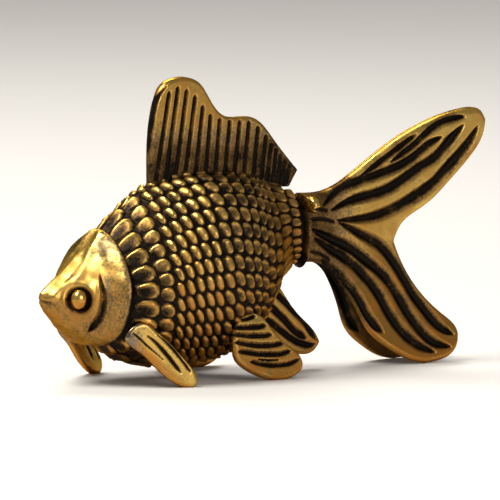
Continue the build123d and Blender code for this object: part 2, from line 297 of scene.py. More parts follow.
class NodeBench:
    """Node tree of one material, with short ways to add nodes to it."""

    noise_range = (0.3, 0.7)

    def __init__(self, name: str) -> None:
        """Starts a material.

        Args:
            name: Name of the material.
        """
        self.material = bpy.data.materials.new(name)
        self.material.use_nodes = True
        self.tree = self.material.node_tree
        self.shader = self.tree.nodes["Principled BSDF"]

    def give(self, socket: Socket, value: object) -> None:
        """Feeds an input from an output, a number or a colour.

        Args:
            socket: The input.
            value: An output, a number, or a colour without alpha.
        """
        if isinstance(value, bpy.types.NodeSocket):
            self.tree.links.new(value, socket)
        else:
            socket.default_value = (*value, 1.0) if isinstance(value, tuple) else value

    def node(self, kind: str, output: str | int, inputs: dict[str | int, object], **settings: str) -> Socket:
        """Adds a node.

        Args:
            kind: End of the node type's name.
            output: Name or number of the output that is wanted.
            inputs: What feeds each input, by its name or number.
            **settings: Other settings of the node.

        Returns:
            The output.
        """
        made = self.tree.nodes.new("ShaderNode" + kind)
        for key, value in settings.items():
            setattr(made, key, value)
        for key, value in inputs.items():
            self.give(made.inputs[key], value)
        return made.outputs[output]

    def noise(self, scale: float, detail: float) -> Socket:
        """Noise of this many cells in a metre of the piece's own space, about 0.5 on average."""
        place = self.node("TexCoord", "Object", {})
        return self.node("TexNoise", "Fac", {"Vector": place, "Scale": scale, "Detail": detail})

    def carried(self, name: str) -> Socket:
        """Value that the mesh carries under this name."""
        return self.node("Attribute", "Fac", {}, attribute_name=name)

    def total(self, first: Socket, second: Socket) -> Socket:
        """Sum of two values."""
        return self.node("Math", 0, {0: first, 1: second}, operation="ADD")

    def mapped(self, value: Socket, low: float, high: float, start: float = 0.0, end: float = 1.0) -> Socket:
        """Value mapped from one range to another, which stops at its ends.

        Args:
            value: Value to map.
            low: Value that gives start.
            high: Value that gives end.
            start: Result at low.
            end: Result at high.

        Returns:
            The result.
        """
        ends = {"From Min": low, "From Max": high, "To Min": start, "To Max": end}
        return self.node("MapRange", "Result", {"Value": value, **ends})

    def swing(self, noise: Socket, size: float) -> Socket:
        """Noise as a swing about zero, this size each way."""
        return self.mapped(noise, *self.noise_range, -size, size)

    def mixed(self, part: Socket, first: object, second: object) -> Socket:
        """Two colours mixed, where part is the share of the second."""
        return self.node("Mix", 2, {"Factor": part, 6: first, 7: second}, data_type="RGBA")


@dataclass(frozen=True)
class Brass:
    """Cast brass with dark patina in its hollows and rubbed crests.

    The mesh says where it is hollow (relief), where it is free of tarnish, painted shade and painted
    sheen (tone), and how strong a painted orange reflection is on it. Relief also carries painted
    shade. Each pair of a start and an end is a range of one of these values.
    """

    name: str
    gold: Colour = (0.62, 0.40, 0.10)
    # Colour of a painted orange reflection of the surroundings.
    orange_reflection_colour: Colour = (0.44, 0.19, 0.035)
    # Colour of tarnish, and also of painted shade and painted grey sheen.
    tarnish_shade_and_sheen: Colour = (0.20, 0.165, 0.125)
    brown: Colour = (0.19, 0.105, 0.035)
    patina: Colour = (0.011, 0.008, 0.006)
    film_tint: Colour = (0.50, 0.36, 0.22)
    film_shine: float = 0.30
    hollow_metal: float = 0.80
    stained: tuple[float, float] = (0.12, 0.50)
    rubbed: tuple[float, float] = (0.40, 0.90)
    tone_range: tuple[float, float] = (0.05, 0.75)
    crest_roughness: float = 0.29
    hollow_roughness: float = 0.45
    roughness_swing: float = 0.14
    mottle: float = 0.22
    speckle_share: float = 0.6
    # Blotchy swing of the painted orange reflection.
    reflection_swing: float = 0.35
    tone_swing: float = 0.5
    blotches_in_metre: float = 620.0
    specks_in_metre: float = 4200.0
    grain: float = 0.25
    grain_height: float = 0.02 * MM
    grain_blotches: float = 1.2
    blotch_layers: float = 4.0
    speck_layers: float = 3.0

    def material(self) -> bpy.types.Material:
        """Makes the finish's node material.

        Returns:
            The material.
        """
        bench = NodeBench(self.name)
        blotch = bench.noise(self.blotches_in_metre, self.blotch_layers)
        speck = bench.noise(self.specks_in_metre, self.speck_layers)

        relief = bench.total(bench.carried("relief"), bench.swing(blotch, self.mottle))
        relief = bench.total(relief, bench.swing(speck, self.mottle * self.speckle_share))
        stained = bench.mapped(relief, *self.stained)
        rubbed = bench.mapped(relief, *self.rubbed)
        # Painted orange reflection, made blotchy by noise.
        orange_reflection = bench.total(bench.carried("orange_reflection"), bench.swing(blotch, self.reflection_swing))
        tone = bench.total(bench.carried("tone"), bench.swing(speck, self.tone_swing))
        # The painted orange reflection turns the gold towards orange.
        colour = bench.mixed(bench.mapped(orange_reflection, 0.0, 1.0), self.gold, self.orange_reflection_colour)
        # Tarnish, painted shade and painted sheen turn the colour towards this one.
        colour = bench.mixed(bench.mapped(tone, *self.tone_range, 1.0, 0.0), colour, self.tarnish_shade_and_sheen)
        colour = bench.mixed(rubbed, bench.mixed(stained, self.patina, self.brown), colour)
        rough = bench.mapped(rubbed, 0.0, 1.0, self.hollow_roughness, self.crest_roughness)
        height = bench.total(speck, bench.swing(blotch, self.grain_blotches))
        grain = {"Strength": self.grain, "Distance": self.grain_height, "Height": height}

        for key, value in {
            "Base Color": colour,
            "Metallic": bench.mapped(stained, 0.0, 1.0, self.hollow_metal, 1.0),
            "Specular IOR Level": self.film_shine,
            "Specular Tint": self.film_tint,
            "Roughness": bench.total(rough, bench.swing(blotch, self.roughness_swing)),
            "Normal": bench.node("Bump", "Normal", grain),
        }.items():
            bench.give(bench.shader.inputs[key], value)
        return bench.material


SCALED = Brass("scaled_brass", crest_roughness=0.33, mottle=0.16)
WORN = Brass("worn_brass", tarnish_shade_and_sheen=(0.17, 0.125, 0.06), rubbed=(0.25, 0.85), crest_roughness=0.40, mottle=0.18)
POLISHED = Brass("polished_brass", crest_roughness=0.24, mottle=0.05, grain=0.08)
FINNED = Brass("fin_brass", mottle=0.18)
MATERIALS: dict[str, bpy.types.Material] = {}


@dataclass
class Relief:
    """What a carved mesh carries for its finish, one value for each vertex."""

    relief: np.ndarray
    tone: np.ndarray
    orange_reflection: np.ndarray


def make_piece(name: str, points: np.ndarray, faces: list, carving: Relief, finish: Brass,
               side: Side = Side.LEFT) -> bpy.types.Object:
    """Makes one piece, dresses it and tells the frame about it.

    Args:
        name: Name of the CAD node that the piece stands for.
        points: Vertices on the fish's left side, in metres.
        faces: Vertex numbers of each face.
        carving: Values for the finish.
        finish: Finish of the piece.
        side: Side of the fish. The right side is the mirror image.

    Returns:
        The piece.
    """
    placed = points * np.array([1, side.value, 1])
    if side is Side.RIGHT:
        faces = [face[::-1] for face in faces]
    mesh = bpy.data.meshes.new(name + "_carved")
    mesh.from_pydata(placed.tolist(), [], faces)
    for key in ("relief", "tone", "orange_reflection"):
        layer = mesh.attributes.new(key, "FLOAT", "POINT")
        layer.data.foreach_set("value", getattr(carving, key).astype(np.float32))
    mesh.shade_smooth()
    mesh.validate()
    mesh.update()
    piece = bpy.data.objects.new(name + "_carved", mesh)
    bpy.context.scene.collection.objects.link(piece)
    if finish.name not in MATERIALS:
        MATERIALS[finish.name] = finish.material()
    mesh.materials.append(MATERIALS[finish.name])
    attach(piece, BODY)
    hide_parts(name)
    log.info("%s: %d vertices, %d faces", piece.name, len(mesh.vertices), len(mesh.polygons))
    return piece


# The body's skin


@dataclass(frozen=True)
class FishSize:
    """Driving sizes of the fish, in metres."""

    nose_x: float
    length: float
    belly_z: float
    height: float
    half_width: float

    @classmethod
    def from_frame(cls) -> "FishSize":
        """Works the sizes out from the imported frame's length.

        Returns:
            The sizes.
        """
        low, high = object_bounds()
        length = high[0] - low[0]
        shares = (BELLY_GAP_SHARE, TRUNK_HEIGHT_SHARE, HALF_WIDTH_SHARE)
        return cls(low[0], length, *(share * length for share in shares))

    def along(self, share: float) -> float:
        """Place along the fish of a share of its length from the nose."""
        return self.nose_x + share * self.length

    def level(self, share: float) -> float:
        """Height of a share of the trunk's height above its belly."""
        return self.belly_z + share * self.height


@dataclass
class Skin:
    """Smooth left half of the body through sections, from the back ridge to the belly.

    A section holds its place along the fish, its top and bottom, its half width and the
    fullness of its back and of its belly, all as shares, as in the solids.
    """

    size: FishSize
    section_shares: Shares
    widest_share: float = 0.45
    gable_reach: float = 0.6
    stations: int = 420
    steps: int = 401
    turn_steps: int = 901
    table: np.ndarray = field(init=False)
    places: np.ndarray = field(init=False)

    def __post_init__(self) -> None:
        """Works out the table of points that the skin is read from."""
        rows = np.array(self.section_shares)
        shares = np.linspace(rows[0, 0], rows[-1, 0], self.stations)
        top, bottom, wide, back, belly = (
            knot_value(list(zip(rows[:, 0], rows[:, column])), shares) for column in range(1, 6)
        )
        turn = np.linspace(math.pi / 2, -math.pi / 2, self.turn_steps)
        across, up = np.cos(turn), np.sin(turn)
        self.places = self.size.along(shares)
        self.table = np.zeros((self.stations, self.steps, 2))
        for index in range(self.stations):
            high, low = self.size.level(top[index]), self.size.level(bottom[index])
            widest = low + self.widest_share * (high - low)
            gable = 1 + (2 / back[index] - 1) * smooth_step(0, self.gable_reach, up)
            power = np.where(up > 0, gable, 2 / belly[index])
            rise = np.where(up > 0, high - widest, widest - low)
            y = -wide[index] * self.size.half_width * np.abs(across) ** power
            z = widest + rise * np.sign(up) * np.abs(up) ** power
            mark = np.concatenate([[0], np.cumsum(np.hypot(np.diff(y), np.diff(z)))])
            even = np.linspace(0, mark[-1], self.steps)
            self.table[index] = np.stack([np.interp(even, mark, y), np.interp(even, mark, z)], 1)

    def at(self, x: np.ndarray, round_share: np.ndarray) -> np.ndarray:
        """Points of the skin.

        Args:
            x: Places along the fish, in metres.
            round_share: Shares of the way round from the back ridge to the belly.

        Returns:
            Points in space, in the shape of x with one more axis.
        """
        column = np.interp(x, self.places, np.arange(self.stations))
        row = np.clip(round_share, 0, 1) * (self.steps - 1)
        i = np.clip(column.astype(int), 0, self.stations - 2)
        j = np.clip(row.astype(int), 0, self.steps - 2)
        u, v = (column - i)[..., None], (row - j)[..., None]
        table = self.table
        near = table[i, j] * (1 - v) + table[i, j + 1] * v
        far = table[i + 1, j] * (1 - v) + table[i + 1, j + 1] * v
        yz = near * (1 - u) + far * u
        return np.concatenate([np.asarray(x)[..., None], yz], axis=-1)

    def line(self, points: Shares) -> np.ndarray:
        """Smooth line on the skin through places given in mm along the fish and shares round it."""
        way = spline(points)
        return self.at(way[:, 0] * MM, way[:, 1])


def grid_normals(grid: np.ndarray) -> np.ndarray:
    """Outward normals of a grid of points of the left half.

    Args:
        grid: Points, front to back along the first axis and ridge to belly along the second.

    Returns:
        Unit normals, one for each point.
    """
    along = np.gradient(grid, axis=0)
    down = np.gradient(grid, axis=1)
    normal = np.cross(down, along)
    normal /= np.maximum(np.linalg.norm(normal, axis=-1, keepdims=True), TINY)
    normal[:, [0, -1], 1] = 0
    normal /= np.maximum(np.linalg.norm(normal, axis=-1, keepdims=True), TINY)
    return normal


def close_grid(grid: np.ndarray, values: list[np.ndarray]) -> tuple[np.ndarray, list, list[np.ndarray]]:
    """Closes a grid of the left half into a whole body with two end caps.

    Args:
        grid: Points, front to back along the first axis and ridge to belly along the second.
        values: Values at the grid's points.

    Returns:
        Vertices, faces, and the values at each vertex.
    """
    mirrored = grid[:, -2:0:-1] * np.array([1, -1, 1])
    whole = np.concatenate([grid, mirrored], axis=1)
    rows, round_count = whole.shape[:2]
    points = whole.reshape(-1, 3)
    carried = [np.concatenate([value, value[:, -2:0:-1]], axis=1).reshape(-1) for value in values]
    faces = []
    for row in range(rows - 1):
        for step in range(round_count):
            after = (step + 1) % round_count
            first, second = row * round_count, (row + 1) * round_count
            faces.append((first + step, first + after, second + after, second + step))
    for row, flip in ((0, True), (rows - 1, False)):
        rim = np.arange(row * round_count, (row + 1) * round_count)
        middle = len(points)
        points = np.concatenate([points, points[rim].mean(axis=0)[None]])
        carried = [np.append(value, value[rim].min()) for value in carried]
        for step in range(round_count):
            pair = (int(rim[step]), int(rim[(step + 1) % round_count]))
            faces.append((middle, *(pair[::-1] if flip else pair)))
    return points, faces, carried


# The trunk


@dataclass(frozen=True)
class Scale:
    """Form, rubbing and painted shade of one overlapping scale, in shares of its cell along and across the row."""

    spine: float = 0.58
    slant: float = 0.36
    straightening: float = 0.8
    half_length: float = 0.37
    forward_reach: float = 0.25
    half_breadth: float = 0.485
    squareness: float = 2.4
    crown: float = 2.2
    fullness: float = 0.55
    foot_height: float = 0.50
    full_height_at: float = 0.85
    bowl_centre: tuple[float, float] = (0.42, 0.11)
    bowl_reach: tuple[float, float] = (0.44, 0.38)
    bowl_fullness: float = 0.45
    bowl_depth: float = 0.55
    bowl_stain: float = 0.88
    worn: tuple[float, float] = (0.12, 0.62)
    # Painted shade: the front and the lower side of each scale stay darker than its upper rear, as under light from
    # above.
    foot_brightness: float = 0.55
    lit_along: tuple[float, float] = (0.22, 0.55)
    shade_slant: float = 0.3

    def carved(self, along: np.ndarray, across: np.ndarray, dished: np.ndarray,
               broad: np.ndarray) -> tuple[np.ndarray, np.ndarray]:
        """Height and rubbing of points of the scale, with painted shade.

        Args:
            along: Share along the cell, from under the scale in front to its own rim.
            across: Share across the row, from -0.5 to 0.5.
            dished: How hollow the scale's face is inside its rim, from 0 to 1.
            broad: How far the scale reaches forward, from 0 to 1.

        Returns:
            Height from 0 in the gap to 1 on the crest, and rubbing with painted shade, from 0 to 1.
        """
        spine = self.spine + self.slant * across * (1 - self.straightening * broad)
        reach = np.where(along > spine, self.half_length, self.half_length + self.forward_reach * broad)
        length = (along - spine) / reach
        power = self.squareness
        round_share = (np.abs(length) ** power + np.abs(across / self.half_breadth) ** power) ** (1 / power)
        bead = np.clip(1 - round_share**self.crown, 0, 1) ** self.fullness
        (centre, offset), (long, wide) = self.bowl_centre, self.bowl_reach
        inner = np.hypot((along - centre) / long, (across - offset) / wide)
        bowl = np.clip(1 - inner**power, 0, 1) ** self.bowl_fullness * dished
        rise = self.foot_height + (1 - self.foot_height) * smooth_step(0.0, self.full_height_at, along)
        # Painted shade, darker towards the front and the lower side of the scale.
        crest = smooth_step(*self.lit_along, along - self.shade_slant * across)
        wear_and_shade = smooth_step(*self.worn, bead) * (self.foot_brightness + (1 - self.foot_brightness) * crest)
        return bead * rise * (1 - self.bowl_depth * bowl), wear_and_shade * (1 - self.bowl_stain * bowl)


@dataclass
class Trunk:
    """Scaled body from the gill seam to the root of the tail."""

    size: FishSize
    section_shares: Shares = (
        (0.084, 0.600, 0.197, 0.500, 1.45, 2.20), (0.116, 0.690, 0.153, 0.712, 1.45, 2.20),
        (0.140, 0.758, 0.093, 0.825, 1.45, 2.10), (0.180, 0.850, 0.033, 0.925, 1.45, 2.00),
        (0.220, 0.926, 0.008, 0.981, 1.50, 2.00), (0.280, 0.981, 0.000, 1.000, 1.70, 2.00),
        (0.340, 1.000, 0.005, 0.975, 1.90, 2.00), (0.400, 0.995, 0.038, 0.875, 2.00, 2.00),
        (0.440, 0.981, 0.093, 0.762, 2.00, 2.00), (0.480, 0.951, 0.197, 0.588, 1.90, 2.00),
        (0.510, 0.923, 0.306, 0.412, 1.80, 2.00), (0.540, 0.891, 0.410, 0.288, 1.80, 2.00),
        (0.560, 0.869, 0.459, 0.231, 1.80, 2.00), (0.578, 0.847, 0.489, 0.200, 1.80, 2.00),
    )
    rim_shares: tuple[float, ...] = (
        0.104, 0.126, 0.170, 0.199, 0.219, 0.240, 0.261, 0.283, 0.304, 0.331, 0.357,
        0.383, 0.406, 0.429, 0.455, 0.494, 0.540, 0.568, 0.578,
    )
    top_lean_shares: Shares = (
        (0, 0.0), (1, 0.002), (3, 0.007), (6, 0.011), (9, 0.032), (11, 0.045), (13, 0.045), (14, 0.028),
        (15, 0.008), (16, 0.003), (17, 0.0), (18, 0.0),
    )
    top_lean_from: float = 0.45
    top_lean_power: float = 1.2
    belly_lean_share: float = 0.026
    belly_lean_from: float = 0.52
    belly_lean_over: float = 0.3
    belly_lean_power: float = 1.5
    belly_lean_rings: int = 3
    row_shares: Shares = (
        (0.0905, 0.0565), (0.0905, 0.0565), (0.0675, 0.0641), (0.0625, 0.027), (0.0625, 0.030), (0.0625, 0.030),
        (0.0625, 0.034), (0.0625, 0.039), (0.0625, 0.042), (0.0605, 0.058), (0.0630, 0.058), (0.0635, 0.064),
        (0.0660, 0.070), (0.0750, 0.0575), (0.0830, 0.048), (0.0890, 0.028), (0.1040, 0.042), (0.1040, 0.042),
    )
    row_drift_share: float = 0.006
    row_drift_centre: float = 0.6
    dish_shares: Shares = (
        (0, 1.0), (1, 1.0), (2, 0.70), (3, 0.25), (7, 0.25), (9, 0.80), (13, 0.85), (15, 0.45), (17, 0.45),
    )
    broad_shares: Shares = ((1, 1.0), (2, 0.8), (3, 0.0), (14, 0.0), (15, 0.4), (17, 0.4))
    neck_rings: int = 1
    end_rings: int = 1
    throat_share: float = 0.65
    throat_pitch_share: float = 0.13
    columns_in_ring: int = 12
    column_bunching: float = 0.06
    steps_round: int = 201
    scale: Scale = Scale()
    scale_depth: float = 0.48 * MM
    unevenness: float = 0.03 * MM
    unevenness_length: float = 1.9 * MM
    unevenness_seed: int = 5
    # Painted orange reflection, strong on the belly and growing towards the rear.
    belly_reflection: Ramp = Ramp(0.28, 0.75, 0.10, 0.95)
    rear_reflection: Ramp = Ramp(10, 15, 0.0, 0.45)
    rear_tarnish: Ramp = Ramp(6, 12, 0.0, 0.40)
    back_only: Ramp = Ramp(0.35, 0.6, 1.0, 0.0)

    def build(self) -> bpy.types.Object:
        """Makes the trunk.

        Returns:
            The piece.
        """
        skin = Skin(self.size, self.section_shares)
        round_share = np.linspace(0, 1, self.steps_round)
        columns, rings, parts = self._columns()
        x = self._place(columns[:, None], round_share[None, :])
        share = np.broadcast_to(round_share, x.shape)
        grid = skin.at(x, share)
        normal = grid_normals(grid)

        first, last = self.neck_rings, len(self.rim_shares) - 2 - self.end_rings
        pitch, start = (np.array(self.row_shares)[rings, value][:, None] for value in range(2))
        row = (share - start - self.row_drift_share * (parts[:, None] - self.row_drift_centre)) / pitch
        throat = (rings[:, None] == first) & (share > self.throat_share)
        row = np.where(throat, share / self.throat_pitch_share, row)
        part = np.where(throat, 2 * parts[:, None] % 1, parts[:, None])
        dished = np.interp(rings, *np.array(self.dish_shares).T)[:, None]
        broad = np.interp(rings, *np.array(self.broad_shares).T)[:, None]
        # Height of each scale, and its rubbing with painted shade on its front and lower side.
        height, wear_and_shade = self.scale.carved(part, row % 1 - 0.5, dished, broad)
        scaled = ((rings >= first) & (rings <= last))[:, None]
        height, wear_and_shade = height * scaled, wear_and_shade * scaled
        flat = grid.reshape(-1, 3)
        rough = waves(flat, self.unevenness_length, self.unevenness_seed).reshape(x.shape)
        carved = grid - normal * (self.scale_depth * (1 - height) + self.unevenness * rough * height)[..., None]
        carved[..., 1] = np.minimum(carved[..., 1], 0)
        carved[:, [0, -1], 1] = 0

        # Painted orange reflection, strongest on the belly and towards the rear.
        orange_reflection = np.clip(self.belly_reflection.at(share) + self.rear_reflection.at(columns)[:, None], 0, 1)
        tone = 1 - self.rear_tarnish.at(columns)[:, None] * self.back_only.at(share)
        points, faces, values = close_grid(carved, [wear_and_shade, tone, orange_reflection])
        return make_piece("trunk", points, faces, Relief(*values), SCALED)

    def _columns(self) -> tuple[np.ndarray, np.ndarray, np.ndarray]:
        """Works out the grid's columns.

        Returns:
            Ring coordinates, and for each one its ring's number and the share along the ring.
        """
        steps = np.arange(self.columns_in_ring) / self.columns_in_ring
        steps = steps + self.column_bunching * np.sin(math.tau * steps)
        coordinates = [ring + part for ring in range(len(self.rim_shares) - 1) for part in steps]
        coordinates.append(len(self.rim_shares) - 1)
        columns = np.array(coordinates, float)
        rings = np.minimum(columns.astype(int), len(self.rim_shares) - 2)
        return columns, rings, columns - rings

    def _place(self, column: np.ndarray, round_share: np.ndarray) -> np.ndarray:
        """Place along the fish of the rings, which lean back towards the ridge and the belly.

        Args:
            column: Ring coordinates.
            round_share: Shares of the way round from the back ridge.

        Returns:
            Places along the fish, in metres.
        """
        rims = list(enumerate(self.rim_shares))
        middle = np.interp(column, *np.array(rims, float).T)
        lean = knot_value(self.top_lean_shares, np.asarray(column, float))
        top = np.clip((self.top_lean_from - round_share) / self.top_lean_from, 0, 1) ** self.top_lean_power
        belly = np.clip((round_share - self.belly_lean_from) / self.belly_lean_over, 0, 1) ** self.belly_lean_power
        behind = len(self.rim_shares) - 1 - column
        fade = smooth_step(1, self.belly_lean_rings, column) * smooth_step(0, self.belly_lean_rings, behind)
        return self.size.along(middle + lean * top + self.belly_lean_share * belly * fade)


# The head


@dataclass(frozen=True)
class Stroke:
    """Line raised on the face or sunk into it, in mm along the fish and shares round it."""

    line: Shares
    width: float
    height: float
    stain: float = 0.0


@dataclass
class Head:
    """Rubbed cap with its gill rim, brow, cheek fold and eye sockets."""

    size: FishSize
    section_shares: Shares = (
        (0.000, 0.423, 0.361, 0.045, 1.80, 2.50), (0.012, 0.452, 0.322, 0.120, 1.60, 2.50),
        (0.040, 0.506, 0.250, 0.255, 1.45, 2.50), (0.070, 0.576, 0.182, 0.440, 1.50, 2.50),
        (0.094, 0.636, 0.147, 0.612, 1.60, 2.60), (0.116, 0.696, 0.125, 0.790, 1.70, 2.70),
        (0.140, 0.765, 0.110, 0.880, 1.70, 2.70), (0.160, 0.815, 0.098, 0.930, 1.70, 2.70),
    )
    seam_place_share: float = 0.117
    seam_height_share: float = 0.426
    seam_lean: float = math.radians(6.0)
    seam_rounds: int = 12
    columns: int = 210
    steps_round: int = 181
    rear_crowding: float = 0.86
    rim_radius: float = 0.42 * MM
    rim_drop_share: float = 0.75
    bead_back: float = 0.75 * MM
    bead_width: float = 0.40 * MM
    bead_height: float = 0.05 * MM
    unevenness: float = 0.035 * MM
    unevenness_length: float = 2.4 * MM
    unevenness_seed: int = 11
    socket_radius: float = 1.36 * MM
    socket_depth: float = 0.34 * MM
    socket_stain: float = 0.95
    socket_stain_growth: tuple[float, float] = (1.04, 1.05)
    eye_radius: float = 0.90 * MM
    eye_ring_radius: float = 1.5 * MM
    eye_ring_width: float = 0.22 * MM
    eye_ring_height: float = 0.07 * MM
    fold: Shares = (
        (-20.62, 0.275), (-20.75, 0.339), (-20.84, 0.425), (-20.94, 0.505), (-21.08, 0.579), (-21.28, 0.643),
        (-21.53, 0.737),
    )
    fold_depth: float = 0.30 * MM
    fold_start_width: float = 0.13
    fold_end_width: float = 0.26
    fold_tapers: tuple[float, float] = (0.35, 0.25)
    fold_least_taper: float = 0.05
    fold_reach: float = 2.2
    fold_sharpness: float = 1.5
    # Dark patina in the fold, together with painted shade of its step.
    fold_patina_and_shade: Ramp = Ramp(0.35, 1.9, 0.88, 0.0)
    cheek_ahead: float = 0.42
    cheek_start: float = 0.2
    cheek_width: float = 0.26 * MM
    cheek_height: float = 0.10 * MM
    strokes: tuple[Stroke, ...] = (
        Stroke(((-22.95, 0.178), (-22.72, 0.168), (-22.0, 0.126), (-21.44, 0.10)), 0.10 * MM, -0.05 * MM, 0.60),
        Stroke(((-24.95, 0.60), (-24.83, 0.585), (-24.64, 0.567), (-24.45, 0.56)), 0.12 * MM, -0.10 * MM, 0.30),
        Stroke(((-24.12, 0.36), (-23.52, 0.246), (-22.76, 0.208), (-21.98, 0.200), (-21.4, 0.160), (-20.7, 0.10),
                (-19.78, 0.06), (-18.95, 0.036)), 0.42 * MM, 0.16 * MM),
    )
    # Line of a painted grey sheen band behind the fold.
    sheen: Shares = ((-20.42, 0.333), (-20.58, 0.431), (-20.62, 0.527), (-20.80, 0.607), (-21.01, 0.683))
    sheen_width: float = 0.60 * MM
    sheen_strength: float = 0.60
    # Painted shade along the gill cover's rear margin.
    margin_width: float = 0.7 * MM
    margin_shade: Ramp = Ramp(0.15, 0.35, 0.0, 0.45)
    patch_place: tuple[float, float] = (-19.35 * MM, 0.14)
    patch_spread: tuple[float, float] = (0.9 * MM, 0.08)
    patch_tarnish: float = 0.85
    # Painted shade on the upper cheek.
    cheek_shade: Ramp = Ramp(-21.6 * MM, -20.2 * MM, 0.0, 0.30)
    upper_only: Ramp = Ramp(0.45, 0.7, 1.0, 0.0)
    # Painted orange reflection, strong low on the side and faint at the nose.
    side_reflection: Ramp = Ramp(0.12, 0.6, 0.0, 0.75)
    front_reflection: Ramp = Ramp(-23.0 * MM, -19.5 * MM, 0.15, 0.0)
    # Painted shade: the lower head is darker.
    jaw_shade: Ramp = Ramp(0.33, 0.62, 1.0, 0.52)
    lip_wear: Ramp = Ramp(-0.02 * MM, 0.20 * MM)
    even_nose: Ramp = Ramp(0, 2.0 * MM)

    def build(self) -> bpy.types.Object:
        """Makes the head.

        Returns:
            The piece.
        """
        skin = Skin(self.size, self.section_shares)
        round_share = np.linspace(0, 1, self.steps_round)
        seam = self._seam(skin, round_share)
        part = np.linspace(0, 1, self.columns) ** self.rear_crowding
        x = self.size.nose_x + part[:, None] * (seam - self.size.nose_x)[None, :]
        share = np.broadcast_to(round_share, x.shape)
        grid = skin.at(x, share)
        normal = grid_normals(grid)
        flat = grid.reshape(-1, 3)
        height, relief = self._carve(skin, flat)
        gap = np.broadcast_to(seam[None, :] - x, x.shape).reshape(-1)
        lip = rounding(gap, self.rim_radius) - 1
        bead = self.bead_height * bell(gap - self.bead_back, self.bead_width)
        height += lip * self.rim_drop_share * self.rim_radius + bead
        relief = relief * self.lip_wear.at(gap)
        roughness = self.unevenness * waves(flat, self.unevenness_length, self.unevenness_seed)
        height += roughness * self.even_nose.at(x.reshape(-1) - self.size.nose_x)
        carved = (flat + normal.reshape(-1, 3) * height[:, None]).reshape(grid.shape)
        carved[..., 0] = np.maximum(carved[..., 0], self.size.nose_x)
        carved[..., 1] = np.minimum(carved[..., 1], 0)
        carved[:, [0, -1], 1] = 0
        tone, orange_reflection = self._colouring(x, share, gap.reshape(x.shape))
        # Painted grey sheen in a band behind the fold, which dulls the colour there.
        near, _, _ = line_distance(flat, skin.line(self.sheen))
        tone = tone - self.sheen_strength * bell(near, self.sheen_width).reshape(x.shape)
        # Painted shade: the lower head is darker.
        relief = relief.reshape(x.shape) * self.jaw_shade.at(share)
        points, faces, carried = close_grid(carved, [relief, tone, orange_reflection])
        return make_piece("head", points, faces, Relief(*carried), WORN)

    def _colouring(self, x: np.ndarray, share: np.ndarray, gap: np.ndarray) -> tuple[np.ndarray, np.ndarray]:
        """Works out the head's tarnish, its painted shade and its painted orange reflection.

        Args:
            x: Places along the fish.
            share: Shares of the way round from the back ridge.
            gap: Distances ahead of the seam.

        Returns:
            Freedom from tarnish and painted shade, without the painted sheen on the gill cover, and the strength of the
            painted orange reflection.
        """
        # Painted orange reflection, low on the side and faint at the nose.
        orange_reflection = np.clip(self.side_reflection.at(share) + self.front_reflection.at(x), 0, 1)
        (patch_x, patch_share), (long, wide) = self.patch_place, self.patch_spread
        patch = self.patch_tarnish * bell(x - patch_x, long) * bell(share - patch_share, wide)
        # Painted shade along the gill cover's rear margin and on the upper cheek.
        margin = self.margin_shade.at(share) * bell(gap, self.margin_width)
        return 1 - patch - margin - self.cheek_shade.at(x) * self.upper_only.at(share), orange_reflection

    def _seam(self, skin: Skin, round_share: np.ndarray) -> np.ndarray:
        """Places where the skin meets the leaning seam.

        Args:
            skin: Skin of the head.
            round_share: Shares of the way round from the back ridge.

        Returns:
            Places along the fish, in metres.
        """
        base_x, base_z = self.size.along(self.seam_place_share), self.size.level(self.seam_height_share)
        x = np.full(len(round_share), base_x)
        for _ in range(self.seam_rounds):
            z = skin.at(x, round_share)[:, 2]
            x = 0.5 * x + 0.5 * (base_x + (z - base_z) * math.tan(self.seam_lean))
        return x

    def _carve(self, skin: Skin, points: np.ndarray) -> tuple[np.ndarray, np.ndarray]:
        """Works out the face's carving.

        Args:
            skin: Skin of the head.
            points: Points of the skin.

        Returns:
            Heights off the skin in metres, and the relief for the finish.
        """
        height = np.zeros(len(points))
        relief = np.ones(len(points))
        low, high = (np.array(corner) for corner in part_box("eye_left"))
        out = np.array([-math.sin(EYE_TURN), -math.cos(EYE_TURN), 0.0])
        reach = points - (low + high) / 2
        away = np.linalg.norm(reach - np.outer(reach @ out, out), axis=1)
        height -= self.socket_depth * smooth_step(self.socket_radius, self.eye_radius, away)
        rim_growth, eye_growth = self.socket_stain_growth
        stained = smooth_step(rim_growth * self.socket_radius, eye_growth * self.eye_radius, away)
        relief -= self.socket_stain * stained
        height += self.eye_ring_height * bell(away - self.eye_ring_radius, self.eye_ring_width)

        gap, share, _ = line_distance(points, skin.line(self.fold))
        head_taper, tail_taper = self.fold_tapers
        taper = np.sqrt(np.clip(np.minimum(share / head_taper, (1 - share) / tail_taper), self.fold_least_taper, 1))
        width = (self.fold_start_width + (self.fold_end_width - self.fold_start_width) * share) * MM * taper
        trench = np.clip(1 - (gap / (self.fold_reach * width)) ** 2, 0, 1) ** self.fold_sharpness
        height -= self.fold_depth * trench
        # Dark patina in the fold, together with painted shade of its step.
        relief -= self.fold_patina_and_shade.at(gap / width)
        gap, share, _ = line_distance(points, skin.line([(x - self.cheek_ahead, s) for x, s in self.fold]))
        height += self.cheek_height * bell(gap, self.cheek_width) * smooth_step(0, self.cheek_start, share)

        for stroke in self.strokes:
            gap, _, _ = line_distance(points, skin.line(stroke.line))
            hump = bell(gap, stroke.width)
            height += stroke.height * hump
            relief -= stroke.stain * hump
        return height, relief


